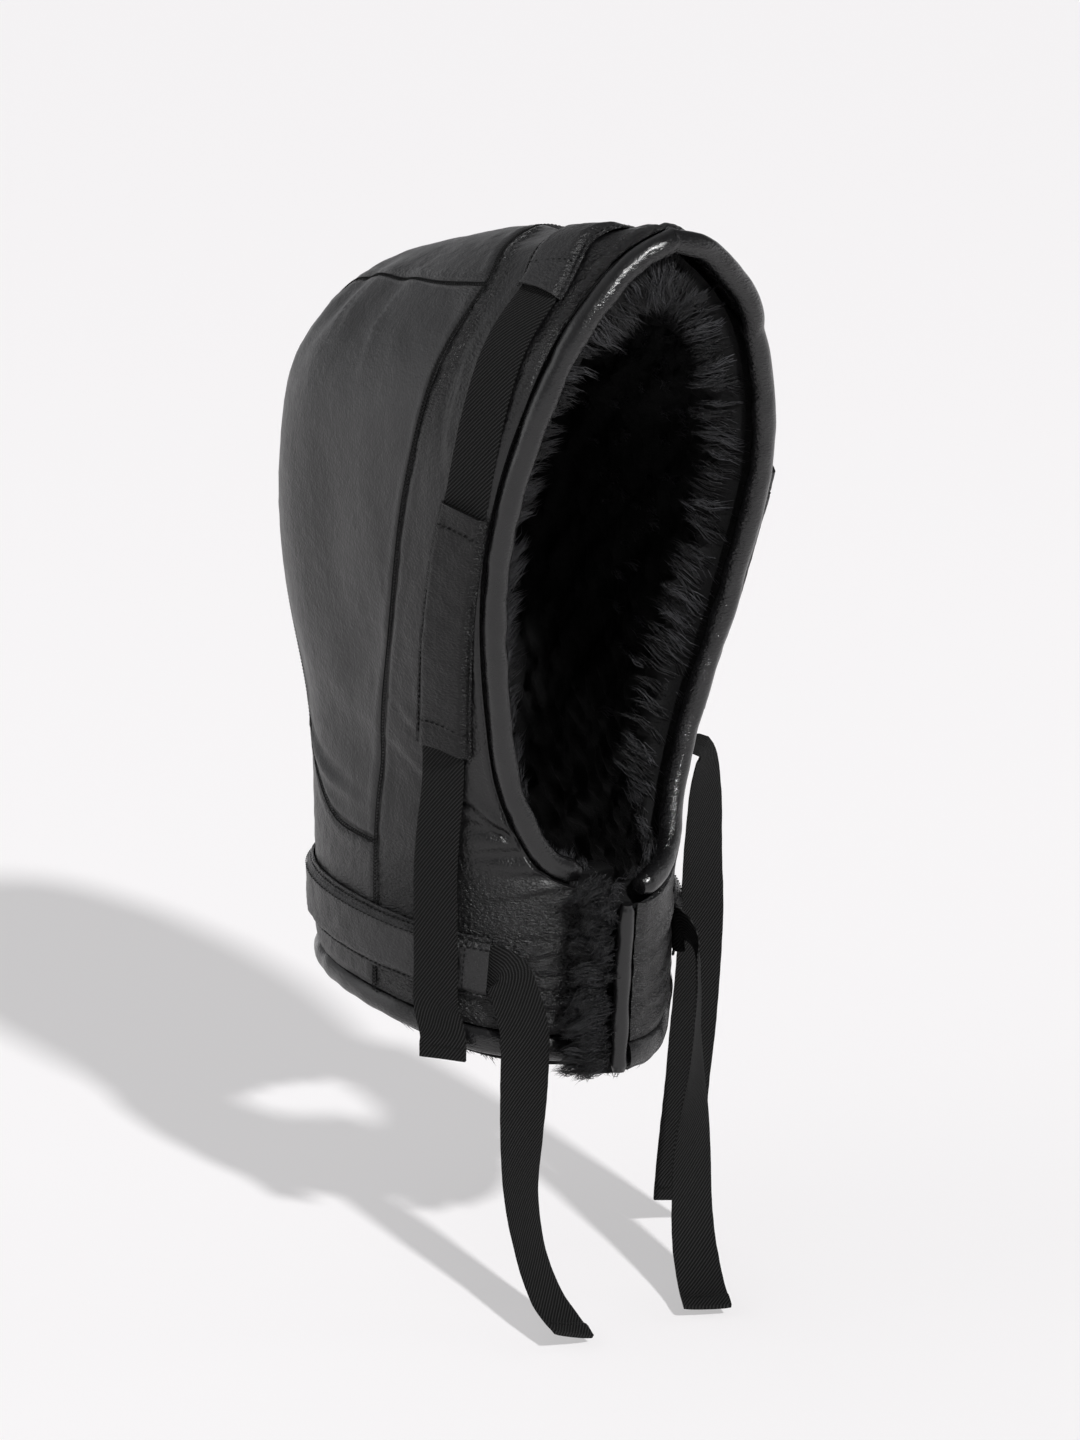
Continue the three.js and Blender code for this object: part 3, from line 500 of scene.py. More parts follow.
def build(name, points, face_sets, look, slot_name, crease=55, uv=None, marks=None):
    """A mesh piece that rides on the hood's one body."""
    points = np.asarray(points, np.float32).reshape(-1, 3)
    corners = np.concatenate([faces.ravel() for faces in face_sets]).astype(np.int32)
    totals = np.concatenate([np.full(len(faces), faces.shape[1]) for faces in face_sets])
    starts = np.concatenate([[0], np.cumsum(totals)[:-1]]).astype(np.int32)
    mesh = bpy.data.meshes.new(name)
    mesh.vertices.add(len(points))
    mesh.vertices.foreach_set("co", points.ravel())
    mesh.loops.add(len(corners))
    mesh.polygons.add(len(totals))
    mesh.polygons.foreach_set("loop_start", starts)
    mesh.polygons.foreach_set("vertices", corners)
    mesh.update(calc_edges=True)
    mesh.validate()
    mesh.polygons.foreach_set("use_smooth", np.ones(len(totals), bool))
    mesh.set_sharp_from_angle(angle=crease * degree)
    if uv is not None:
        layer = mesh.uv_layers.new(name="weave")
        layer.data.foreach_set("uv", uv.reshape(-1, 2)[corners].astype(np.float32).ravel())
    for mark, values in (marks or {}).items():
        attribute = mesh.attributes.new(mark, "FLOAT", "POINT")
        attribute.data.foreach_set("value", np.asarray(values, np.float32).ravel())
    mesh.materials.append(look)
    piece = bpy.data.objects.new(f"{name}_made", mesh)
    bpy.context.scene.collection.objects.link(piece)
    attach(piece, "root")
    return piece


def outward(points, faces):
    """Faces turned so that a closed shell's normals point out."""
    a, b, c = (points[faces[:, k]] for k in range(3))
    volume = np.einsum("ij,ij->i", a, np.cross(b, c)).sum()
    if faces.shape[1] == 4:
        d = points[faces[:, 3]]
        volume += np.einsum("ij,ij->i", a, np.cross(c, d)).sum()
    return faces if volume > 0 else faces[:, ::-1]


def grid_quads(index):
    corners = [index[:-1, :-1], index[:-1, 1:], index[1:, 1:], index[1:, :-1]]
    return np.stack(corners, axis=-1).reshape(-1, 4)


def fans_between(fine, coarse, every):
    """Triangles that join a finely divided edge to the coarser one behind it."""
    steps = np.arange(len(fine) - 1)
    near = coarse[(steps + every // 2) // every]
    joined = np.stack([fine[:-1], near, fine[1:]], axis=-1)
    turns = np.arange(len(coarse) - 1)
    bridge = np.stack([fine[turns * every + every - every // 2], coarse[:-1], coarse[1:]], axis=-1)
    return np.concatenate([joined, bridge])


def wall(name, outer, inner, look, slot_name, every=1, uv=None, marks=None, **more):
    """A closed wall between two grids. The inner one keeps only some of the stations."""
    rows, columns = outer.shape[:2]
    kept = np.ix_(np.arange(0, rows, every), np.arange(0, columns, every))
    near = np.arange(rows * columns).reshape(rows, columns)
    inside = inner[kept]
    far = np.arange(inside.shape[0] * inside.shape[1]).reshape(inside.shape[:2]) + rows * columns
    points = np.concatenate([outer.reshape(-1, 3), inside.reshape(-1, 3)])
    quads = np.concatenate([grid_quads(near), grid_quads(far)[:, ::-1]])
    rims = [
        fans_between(near[0], far[0], every),
        fans_between(near[:, -1], far[:, -1], every),
        fans_between(near[-1][::-1], far[-1][::-1], every),
        fans_between(near[::-1, 0], far[::-1, 0], every),
    ]
    rims = np.concatenate(rims)
    if outward(points, quads) is not quads:
        quads, rims = quads[:, ::-1], rims[:, ::-1]
    if uv is not None:
        uv = np.concatenate([uv.reshape(-1, 2), uv[kept].reshape(-1, 2)])
    if marks:
        marks = {k: np.concatenate([v.ravel(), v[kept].ravel()]) for k, v in marks.items()}
    return build(name, points, [quads, rims], look, slot_name, uv=uv, marks=marks, **more)


def tube_faces(rings, size):
    """Quads of a tube through rings, and the two fans that close its ends."""
    ring = np.arange(rings * size).reshape(rings, size)
    after = np.roll(ring, -1, axis=1)
    sides = np.stack([ring[:-1], after[:-1], after[1:], ring[1:]], axis=-1).reshape(-1, 4)
    fan = np.arange(1, size - 1)
    first = np.stack([np.zeros_like(fan), fan + 1, fan], axis=-1)
    last = ring[-1, 0] + np.stack([np.zeros_like(fan), fan, fan + 1], axis=-1)
    return sides, np.concatenate([first, last])


def tube(name, rings, look, slot_name, **more):
    sides, ends = tube_faces(*rings.shape[:2])
    points = rings.reshape(-1, 3)
    turned = outward(points, sides)
    if turned is not sides:
        ends = ends[:, ::-1]
    return build(name, points, [turned, ends], look, slot_name, **more)


def arc_lengths(points, axis=0):
    """Distance travelled along one axis of a grid of points."""
    steps = np.linalg.norm(np.diff(points, axis=axis), axis=-1)
    zeros = np.zeros_like(np.take(steps, [0], axis=axis))
    return np.concatenate([zeros, np.cumsum(steps, axis=axis)], axis=axis)


def resample(points, step, *others):
    """Even stations along a line of points, with other values carried along."""
    lengths = arc_lengths(points)
    count = max(int(round(lengths[-1] / step)), 2)
    at = np.linspace(0, lengths[-1], count + 1)

    def sample(values):
        values = np.asarray(values, float)
        if values.ndim == 1:
            return np.interp(at, lengths, values)
        return np.stack([np.interp(at, lengths, values[:, k]) for k in range(values.shape[1])], axis=-1)

    return [sample(points), *[sample(other) for other in others]]


def crowded(count, share=0.75):
    """Shares from 0 to 1 that lie closer together at both ends."""
    s = np.linspace(0, 1, count)
    return s - share * np.sin(2 * math.pi * s) / (2 * math.pi)


# Materials

class Nodes:
    """Small helper for a material's node tree."""

    def __init__(self, name):
        self.material = bpy.data.materials.new(name)
        self.material.use_nodes = True
        self.tree = self.material.node_tree
        self.shader = self.tree.nodes["Principled BSDF"]

    def add(self, kind, inputs=None, **settings):
        node = self.tree.nodes.new(kind)
        for key, value in settings.items():
            setattr(node, key, value)
        for key, value in (inputs or {}).items():
            self.set(node, key, value)
        return node

    def set(self, node, key, value):
        if isinstance(value, bpy.types.NodeSocket):
            self.tree.links.new(value, node.inputs[key])
        else:
            node.inputs[key].default_value = value

    def math(self, operation, a, b=0.0):
        node = self.add("ShaderNodeMath", {0: a, 1: b}, operation=operation)
        return node.outputs[0]

    def noise(self, coordinates, scale, detail=3.0, rough=0.55):
        values = {"Vector": coordinates, "Scale": scale, "Detail": detail, "Roughness": rough}
        return self.add("ShaderNodeTexNoise", values).outputs["Fac"]

    def ramp(self, value, stops):
        node = self.add("ShaderNodeValToRGB", {"Fac": value})
        elements = node.color_ramp.elements
        while len(elements) < len(stops):
            elements.new(0.5)
        for element, (position, level) in zip(elements, stops):
            element.position = position
            color = level if isinstance(level, tuple) else (level, level, level)
            element.color = (*color, 1)
        return node.outputs["Color"]

    def bump(self, height, distance, strength=1.0, normal=None):
        values = {"Height": height, "Distance": distance, "Strength": strength}
        if normal is not None:
            values["Normal"] = normal
        return self.add("ShaderNodeBump", values).outputs["Normal"]


def leather_look(name, dark, light, rough, grain, crinkle, level):
    """Grained leather. Crinkle deepens the fine folds where the mesh marks a puckered seam."""
    n = Nodes(name)
    where = n.add("ShaderNodeTexCoord").outputs["Object"]
    broad = n.noise(where, 22, 2.0)
    mottle = n.noise(where, 140, 3.0)
    tone = n.math("ADD", n.math("MULTIPLY", broad, 0.65), n.math("MULTIPLY", mottle, 0.35))
    n.set(n.shader, "Base Color", n.ramp(tone, [(0.3, dark), (0.7, light)]))
    pebbles = n.add(
        "ShaderNodeTexVoronoi",
        {"Vector": where, "Scale": 760.0, "Smoothness": 0.6},
        feature="SMOOTH_F1",
    ).outputs["Distance"]
    fine = n.noise(where, 1500, 2.0)
    creases = n.noise(where, 95, 5.0, 0.62)
    lines = n.math("ABSOLUTE", n.math("SUBTRACT", creases, 0.5))
    pucker = n.add("ShaderNodeAttribute", attribute_name="pucker").outputs["Fac"]
    stretched = n.add("ShaderNodeMapping", {"Vector": where, "Scale": (1.0, 1.0, 2.2)}).outputs[0]
    folds = n.noise(stretched, 430, 3.0, 0.55)
    height = n.math("ADD", n.math("MULTIPLY", pebbles, 0.8), n.math("MULTIPLY", fine, 0.25))
    normal = n.bump(height, 0.00042 * grain, 0.6)
    normal = n.bump(lines, 0.0022 * grain, 0.5, normal)
    deep = n.math("MULTIPLY", folds, pucker)
    normal = n.bump(deep, 0.0034 * crinkle, 1.0, normal)
    n.set(n.shader, "Normal", normal)
    shine = n.math("ADD", n.math("MULTIPLY", mottle, 0.16), rough - 0.08)
    shine = n.math("SUBTRACT", shine, n.math("MULTIPLY", pucker, 0.17))
    n.set(n.shader, "Roughness", shine)
    n.shader.inputs["Specular IOR Level"].default_value = level
    return n.material


def webbing_look():
    """A fine diagonal twill, from the ribbon's own widths and lengths in centimetres."""
    n = Nodes("webbing")
    weave = n.add("ShaderNodeUVMap", uv_map="weave").outputs["UV"]
    turned = n.add("ShaderNodeMapping", {"Vector": weave, "Rotation": (0, 0, 0.62)}).outputs[0]
    twill = n.add(
        "ShaderNodeTexWave",
        {"Vector": turned, "Scale": 2.1, "Distortion": 0.4, "Detail": 1.0, "Detail Scale": 3.0},
        wave_type="BANDS",
        bands_direction="X",
    ).outputs["Fac"]
    across = n.add("ShaderNodeMapping", {"Vector": weave, "Rotation": (0, 0, -0.95)}).outputs[0]
    yarn = n.add(
        "ShaderNodeTexWave", {"Vector": across, "Scale": 3.6, "Distortion": 0.8, "Detail": 1.0}
    ).outputs["Fac"]
    fuzz = n.noise(weave, 38.0, 3.0)
    height = n.math("ADD", n.math("MULTIPLY", twill, 0.7), n.math("MULTIPLY", yarn, 0.4))
    height = n.math("ADD", height, n.math("MULTIPLY", fuzz, 0.35))
    n.set(n.shader, "Normal", n.bump(height, 0.0005, 0.9))
    tone = n.math("MULTIPLY", n.math("ADD", twill, fuzz), 0.5)
    n.set(n.shader, "Base Color", n.ramp(tone, [(0.25, 0.0015), (0.55, 0.005), (0.8, 0.026)]))
    n.shader.inputs["Roughness"].default_value = 0.8
    n.shader.inputs["Specular IOR Level"].default_value = 0.12
    return n.material


def wool_look(name, dark, light, rough, level):
    """Wool whose locks go from dark to light by their own tone, which also carries painted light and shade,
    and by patches.
    """
    n = Nodes(name)
    where = n.add("ShaderNodeTexCoord").outputs["Object"]
    # The tone mark holds each lock's random tone times its painted light or shade
    tone = n.add("ShaderNodeAttribute", attribute_name="tone").outputs["Fac"]
    patches = n.math("MULTIPLY", n.noise(where, 60, 3.0), 0.5)
    n.set(n.shader, "Base Color", n.ramp(n.math("ADD", patches, tone), [(0.2, dark), (1.0, light)]))
    fibres = n.noise(where, 900, 4.0, 0.7)
    n.set(n.shader, "Normal", n.bump(fibres, 0.0012, 0.7))
    n.shader.inputs["Roughness"].default_value = rough
    n.shader.inputs["Specular IOR Level"].default_value = level
    return n.material


def thread_look():
    n = Nodes("thread")
    where = n.add("ShaderNodeTexCoord").outputs["Object"]
    twist = n.noise(where, 1800, 2.0)
    n.set(n.shader, "Base Color", n.ramp(twist, [(0.3, 0.0016), (0.8, 0.006)]))
    n.set(n.shader, "Normal", n.bump(twist, 0.0002, 0.6))
    n.shader.inputs["Roughness"].default_value = 0.6
    n.shader.inputs["Specular IOR Level"].default_value = 0.12
    return n.material


leather_material = leather_look(
    "leather", dark=(0.0052, 0.0051, 0.0054), light=(0.0118, 0.0115, 0.0122),
    rough=0.42, grain=1.1, crinkle=1.2, level=0.44,
)
# A darker, glossier copy of the leather: painted shade on the front panels
painted_shade_front_material = leather_look(
    "front_leather_painted_shade", dark=(0.0025, 0.0024, 0.0026), light=(0.006, 0.0058, 0.0062),
    rough=0.37, grain=1.2, crinkle=1.25, level=0.42,
)
# A darker copy of the leather with less specular: painted shade on the side channels
painted_shade_channel_material = leather_look(
    "channel_leather_painted_shade", dark=(0.0018, 0.0017, 0.0019), light=(0.0042, 0.004, 0.0043),
    rough=0.38, grain=0.9, crinkle=1.2, level=0.26,
)
roll_material = leather_look(
    "rolled_leather", dark=(0.0036, 0.0035, 0.0038), light=(0.0073, 0.0071, 0.0076),
    rough=0.29, grain=0.35, crinkle=0.3, level=0.5,
)
webbing_material = webbing_look()
wool_dark = (0.0015, 0.0015, 0.0017)
wool_material = wool_look("wool", wool_dark, (0.004, 0.004, 0.0044), rough=0.7, level=0.2)
strand_material = wool_look("wool_strands", wool_dark, (0.042, 0.042, 0.046), rough=0.36, level=0.4)
thread_material = thread_look()


# Leather panels

def polar_between(a, b, share, side):
    out = lerp(np.linalg.norm(a, axis=-1), np.linalg.norm(b, axis=-1), share)
    turn = lerp(turn_of(a, side), turn_of(b, side), share)
    return spot_at(out, turn, side)


def face_along(along, side):
    first, second = face_edge["turn"][0], face_edge["turn"][1]
    throat = (lapel_turn[side] - first) / (second - first) * face_edge["along"][1]
    return lerp(1.0, throat, np.minimum(along / throat_along, 1) ** throat_power)


def front_panel_spot(side):
    def spot_for(across, along):
        seam = line_spot(front_seam, along, side)
        upper = line_spot(face_edge, face_along(along, side), side)
        share = (along - throat_along) / (1 - throat_along)
        lower = spot_at(lerp(throat_out, hem_seam_out, share), lapel_turn[side], side)
        edge = np.where((along > throat_along)[..., None], lower, upper)
        straight = lerp(seam, edge, across)
        return lerp(straight, polar_between(seam, edge, across, side), ease(0.5, 0.85, along))

    return spot_for


def side_panel_spot(side):
    def spot_for(across, along):
        front = line_spot(front_seam, lerp(crown_along, collar_along, along), side)
        back = line_spot(crown_seam, along, side)
        low_front = line_spot(neck_seam, 0, side)
        low_back = line_spot(neck_seam, neck_along, side)
        bow = line_spot(neck_seam, neck_along * across, side) - lerp(low_front, low_back, across[..., None])
        return lerp(front, back, across) + bow * ease(0.3, 1, along)[..., None]

    return spot_for


def crown_panel_spot(across, along):
    side = np.where(across < 0.5, right, left)
    aside = np.abs(2 * across - 1)
    share = across[..., None]
    top_bow = line_spot(front_seam, crown_along * aside, side)
    top_bow = top_bow - lerp(spot_at(*crown_corner, right), spot_at(*crown_corner, left), share)
    low_bow = line_spot(neck_seam, 1 - (1 - neck_along) * aside, side)
    low_bow = low_bow - lerp(spot_at(*neck_corner, right), spot_at(*neck_corner, left), share)
    edges = lerp(line_spot(crown_seam, along, right), line_spot(crown_seam, along, left), across)
    edges = edges + top_bow * ((1 - ease(0, 0.4, along)) * (1 - along))[..., None]
    return edges + low_bow * ease(0.3, 1, along)[..., None]


def nape_panel_spot(across, along):
    side = np.where(across < 0.5, right, left)
    seam = line_spot(neck_seam, 1 - np.abs(2 * across - 1), side)
    return unit(seam) * lerp(np.linalg.norm(seam, axis=-1), hem_seam_out, along)[..., None]


seam_drop = 0.0011
seam_soft = 0.0022
seam_inset = 0.0002
seam_ridge = 0.00045
ridge_away = 0.0055
ridge_soft = 0.003
least_run = 0.004


def beside(distance, reach):
    """One on a line, and fading away from it."""
    return np.exp(-((distance / reach) ** 2))


def panel(name, spot_for, size, side, pucker_for):
    """A leather panel with its edges rolled down into the seams, and its small unevenness."""
    columns, rows = size
    across, along = np.meshgrid(crowded(columns), crowded(rows, 0.5))
    base = bare(spot_for(across, along))
    wide = np.maximum(arc_lengths(base, 1)[:, -1:], least_run)
    tall = np.maximum(arc_lengths(base, 0)[-1:, :], least_run)
    across = np.clip(across, seam_inset / wide, 1 - seam_inset / wide)
    along = np.clip(along, seam_inset / tall, 1 - seam_inset / tall)
    spots = spot_for(across, along)
    base = bare(spots)
    across_run = arc_lengths(base, 1)
    along_run = arc_lengths(base, 0)
    edges = [across_run, across_run[:, -1:] - across_run, along_run, along_run[-1:] - along_run]
    near = np.minimum.reduce(edges)
    side_grid = np.where(across < 0.5, right, left) if side is None else side
    pucker = pucker_for(edges, along)
    height = seam_ridge * beside(near - ridge_away, ridge_soft) - seam_drop * beside(near, seam_soft)
    height += 0.00028 * ripple(base, 0.034, 3) + 0.00012 * ripple(base, 0.012, 4)
    height += 0.00035 * pucker * ripple(base, 0.006, 5) + crease_height(base)
    outer = place(spots, height, side_grid)
    inner = place(spots, np.full_like(height, -leather), side_grid)
    # The front panels take the darker leather copy, which is painted shade
    look = painted_shade_front_material if name.startswith("front") else leather_material
    piece = wall(name, outer, inner, look, "leather", every=4, marks={"pucker": pucker})
    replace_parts(piece, name)


def front_pucker(edges, along):
    """Puckers beside the front seam high up, under the roll, and over the collar."""
    seam = beside(edges[0] - 0.004, 0.0065) * ease(0.02, 0.08, along) * (1 - ease(0.36, 0.55, along))
    face = 0.8 * beside(edges[1], 0.011) * (1 - ease(0.3, 0.42, along))
    low = 0.45 * ease(0.8, 0.9, along)
    light = 0.18 * beside(edges[0], 0.005)
    return np.clip(seam + face + low + light, 0, 1)


def side_pucker(edges, along):
    return np.clip(0.35 * beside(edges[2], 0.02) + 0.12 * beside(edges[1], 0.008), 0, 1)


def crown_pucker(edges, along):
    return np.clip(0.3 * beside(edges[0], 0.012) + 0.3 * beside(edges[1], 0.012), 0, 1)


def nape_pucker(edges, along):
    return 0.2 + 0.2 * beside(edges[2], 0.01)


panel("crown_panel", crown_panel_spot, (93, 121), None, crown_pucker)
panel("nape_panel", nape_panel_spot, (161, 41), None, nape_pucker)
for word, side in (("right", right), ("left", left)):
    panel(f"side_panel_{word}", side_panel_spot(side), (65, 121), side, side_pucker)
    panel(f"front_panel_{word}", front_panel_spot(side), (49, 241), side, front_pucker)


# Rolls

roll_sides = 20
roll_angle = (2 * math.pi * np.arange(roll_sides) / roll_sides)[None, :]
binding_sides = 24
binding_step = 0.0017


def roll(name, rings, gather=None):
    """A leather roll through rings, gathered where its mark says so."""
    marks = {} if gather is None else {"pucker": np.clip(gather, 0, 1)}
    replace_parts(tube(name, rings, roll_material, "rolled_leather", marks=marks), name)


def swollen(rings, swell):
    """Rings made wider or narrower round their own middles."""
    middle = rings.mean(1, keepdims=True)
    return middle + (rings - middle) * swell[..., None]


def hem_roll(word, side, steps=150):
    """The turned leather along the hem, a little uneven and gathered at its seam."""
    half_out = (1 - hem_seam_out) / 2
    wide = half_out * (1 - edge_gap / hem_roll_tall)
    end = 180 - edge_gap / (hood_width / 2) / degree / 2
    turn = np.linspace(lapel_turn[side], end, steps)[:, None]
    spots = spot_at(1 - half_out + wide * np.cos(roll_angle), turn, side)
    rings = place(spots, roll_bulge + hem_roll_deep / 2 * (np.sin(roll_angle) - 1), side)
    rings = swollen(rings, 0.98 + 0.05 * ripple(rings, 0.02, 8))
    roll(f"hem_roll_{word}", rings, 0.5 + 0.4 * np.cos(roll_angle) * np.ones_like(turn))


def lapel_edge(steps=90):
    """The roll up the free edge of the left lapel."""
    degrees_of = 1 / (throat_reach * peak_reach) / degree
    half_turn = degrees_of * lapel_roll / 2
    middle_turn = lapel_turn[left] - half_turn - degrees_of * edge_gap
    out = np.linspace(throat_out, 0.998, steps)[:, None]
    spots = spot_at(out, middle_turn + half_turn * np.cos(roll_angle), left)
    rings = place(spots, roll_bulge + lapel_roll / 2 * (np.sin(roll_angle) - 1), left)
    ends = np.minimum(np.arange(steps), np.arange(steps)[::-1])[:, None]
    swell = (1 + 0.06 * ripple(rings, 0.015, 9)) * (0.7 + 0.3 * ease(0, 4, ends))
    roll("lapel_edge", swollen(rings, swell))


def binding_end(side):
    turns, alongs = face_edge["turn"], face_edge["along"]
    start = (binding_start[side] - turns[1]) / (turns[2] - turns[1])
    return lerp(alongs[1], alongs[2], start)


def face_line(steps):
    """Even stations round the face edge from the right end of the roll to the left one."""
    alongs = np.linspace(binding_end(right), 1, steps)
    right_spots = line_spot(face_edge, alongs, right)
    alongs = np.linspace(1, binding_end(left), steps)[1:]
    left_spots = line_spot(face_edge, alongs, left)
    spots = np.concatenate([right_spots, left_spots])
    sides = np.concatenate([np.full(steps, right), np.full(steps - 1, left)])
    return spots, sides


def face_binding():
    """The padded roll round the face, with the puckered strip that turns in behind it."""
    spots, sides = face_line(400)
    at, normal = frame_at(spots, sides)
    at, normal = resample(at, binding_step, normal)
    heading = unit(np.gradient(at, axis=0))
    normal = unit(normal - heading * (normal * heading).sum(-1, keepdims=True))
    inward = unit(np.cross(heading, normal))
    angle = 2 * math.pi * np.arange(binding_sides) / binding_sides
    into = edge_gap + binding_wide / 2 * (1 + np.cos(angle))
    high = roll_bulge + binding_deep / 2 * (np.sin(angle) - 1)
    rings = at[:, None] + inward[:, None] * into[:, None] + normal[:, None] * high[:, None]
    run = arc_lengths(at)
    behind = np.clip(0.5 - 0.9 * np.sin(angle - 0.5), 0, 1)[None, :]
    gather = 0.045 * np.sin(run / 0.0042 + 1.8 * np.sin(run / 0.031))[:, None] * behind
    swell = 1 + 0.035 * ripple(rings, 0.028, 6) + 0.015 * ripple(rings, 0.009, 7) + gather
    ends = np.minimum(run, run[-1] - run)[:, None]
    swell = swell * (0.72 + 0.28 * ease(0, 0.006, ends))
    roll("face_binding", swollen(rings, swell), behind * 0.9 + 0.05 + 0 * ends)


for word, side in (("right", right), ("left", left)):
    hem_roll(word, side)
lapel_edge()
face_binding()


# Webbing and the channels that it runs in

def step_across(spot, direction, distance):
    """The spot that lies a distance away from another, in a direction along the surface."""
    _, _, along_x, along_y = bare_frame(spot)
    xx = (along_x * along_x).sum(-1)
    xy = (along_x * along_y).sum(-1)
    yy = (along_y * along_y).sum(-1)
    toward_x = (along_x * direction).sum(-1)
    toward_y = (along_y * direction).sum(-1)
    scale = spot_step * distance / (xx * yy - xy * xy)
    move = [(yy * toward_x - xy * toward_y) * scale, (xx * toward_y - xy * toward_x) * scale]
    return spot + np.stack(move, axis=-1)


def across_surface(spots, sides, heights):
    """Middles and width directions of a strip that lies on the surface."""
    at, normal = frame_at(spots, sides)
    at = at + normal * np.asarray(heights)[:, None]
    heading = np.gradient(at, axis=0)
    return at, unit(np.cross(heading, normal)), normal


def hanging(rows):
    """Middles and width directions of webbing that hangs free, from its table."""
    plan = rows["plan"] * degree
    flat = np.sqrt(1 - rows["tip"] ** 2)
    at = np.stack([
        -rows["right"] * hood_width / 2,
        -rows["front"] * peak_reach,
        rows["up"] * hood_height,
    ], axis=-1)
    wide = np.stack([np.cos(plan) * flat, np.sin(plan) * flat, rows["tip"]], axis=-1)
    return at + seat_shift, wide


def between(a, b, low, high, t):
    return (a * (high - t) + b * (t - low)) / (high - low)


def smooth_line(points, per_span):
    """A centripetal curve through points: its points, and each one's place among the keys."""
    ends = [2 * points[0] - points[1], *points, 2 * points[-1] - points[-2]]
    made, places = [], []
    for k in range(len(points) - 1):
        p = np.array(ends[k:k + 4])
        gaps = np.sqrt(np.linalg.norm(np.diff(p, axis=0), axis=1))
        knots = np.concatenate([[0], np.cumsum(gaps)])
        count = per_span + 1 if k == len(points) - 2 else per_span
        for share in np.arange(count) / per_span:
            t = lerp(knots[1], knots[2], share)
            first = [between(p[i], p[i + 1], knots[i], knots[i + 1], t) for i in range(3)]
            second = [between(first[i], first[i + 1], knots[i], knots[i + 2], t) for i in range(2)]
            made.append(between(second[0], second[1], knots[1], knots[2], t))
            places.append(k + share)
    return np.array(made), np.array(places)


lying_height = webbing_gap + webbing_thick / 2
tunnel_inner = webbing_gap + webbing_thick + tunnel_room
over_band = tunnel_inner + tunnel_leather + lying_height + crossing_room
webbing_columns = 11


def ribbon(name, keys, seed):
    """Webbing through keys of middle, width direction and the fall of its two edges."""
    middles = np.array([key[0] for key in keys])
    wides = np.array([key[1] for key in keys])
    bows = np.array([key[2] for key in keys])
    line, places = smooth_line(middles, 6)
    index = np.arange(len(keys))
    wide = np.stack([np.interp(places, index, wides[:, k]) for k in range(3)], axis=-1)
    bow = np.stack([np.interp(places, index, bows[:, k]) for k in range(2)], axis=-1)
    free = np.interp(places, index, (np.abs(bows).sum(1) == 0).astype(float))
    line, wide, bow, free = resample(line, 0.0022, wide, bow, free)
    heading = unit(np.gradient(line, axis=0))
    wide = unit(wide - heading * (wide * heading).sum(-1, keepdims=True))
    normal = np.cross(wide, heading)
    run = arc_lengths(line)
    length = run[-1]
    a = np.linspace(-1, 1, webbing_columns)[None, :]
    sway = 0.0006 * free[:, None] * ripple(line, 0.05, seed)[:, None] * a
    curl = 0.0005 * free[:, None] * (a ** 2)
    height = np.where(a < 0, bow[:, :1], bow[:, 1:]) * a ** 2 + sway + curl
    ends = np.minimum(run, length - run)[:, None]
    doubled = 1 - ease(folded_end - 0.0006, folded_end + 0.0006, ends)
    edge = 0.25 * np.abs(a) ** 8
    top = webbing_thick * (0.5 - edge + doubled * 0.95)
    bottom = -webbing_thick * (0.5 - edge)
    jitter = 1 + 0.006 * ripple(line, 0.008, seed + 1)[:, None]
    side_ways = a * jitter * webbing_wide / 2

    def layer(extra):
        return (
            line[:, None]
            + wide[:, None] * side_ways[..., None]
            + normal[:, None] * (height + extra)[..., None]
        )

    uv = np.stack(np.broadcast_arrays(side_ways * 100, run[:, None] * 100), axis=-1)
    piece = wall(name, layer(top), layer(bottom), webbing_material, "webbing", uv=uv)
    return piece, line, wide, normal, run


def lying_keys(spots, sides, heights):
    at, wide, normal = across_surface(spots, sides, heights)
    keys = []
    for k in range(len(spots)):
        bows = []
        for end in (-1, 1):
            edge = step_across(spots[k], wide[k], end * webbing_wide / 2)
            bows.append(float((place(edge, np.asarray(heights[k]), sides[k]) - at[k]) @ normal[k]))
        keys.append((at[k], wide[k], bows))
    return keys


def hanging_keys(rows, turned_round=False):
    at, wide = hanging(rows)
    keys = [(at[k], wide[k], [0.0, 0.0]) for k in range(len(at))]
    return keys[::-1] if turned_round else keys


tunnel_ends = {"crown": 0.2, "from": 0.55, "to": 0.85}
strap_line_end = 1.2
strap_step = 0.05
channel_bend = 0.0022
channel_end_rise = 0.0009
row_inset = 0.0022
end_row_inset = 0.0115


def side_strap():
    """Webbing over the crown and down both sides, over the neck channel on the right."""
    right_along = np.arange(strap_line_end, 0, -strap_step)
    left_along = np.arange(0, tunnel_ends["to"] + strap_step * 1.01, strap_step)
    alongs = np.concatenate([right_along, left_along])
    sides = np.concatenate([np.full(len(right_along), right), np.full(len(left_along), left)])
    spots = line_spot(strap_line, alongs, sides)
    out = np.linalg.norm(spots, axis=-1)
    heights = lerp(lying_height, over_band, ease(0.68, 0.8, out))
    keys = hanging_keys(side_strap_right_end, True) + lying_keys(spots, sides, heights)
    return ribbon("side_strap", keys + hanging_keys(side_strap_left_end), 21)


def band_places(count):
    turns = np.linspace(band_turn, 360 - band_turn, count)
    sides = np.where(turns < 180, right, left)
    return spot_at(np.full(count, band_out), turns, right), sides


def neck_strap():
    spots, sides = band_places(41)
    heights = np.full(len(spots), lying_height)
    keys = hanging_keys(neck_strap_right_end, True) + lying_keys(spots, sides, heights)
    return ribbon("neck_strap", keys + hanging_keys(neck_strap_left_end), 31)


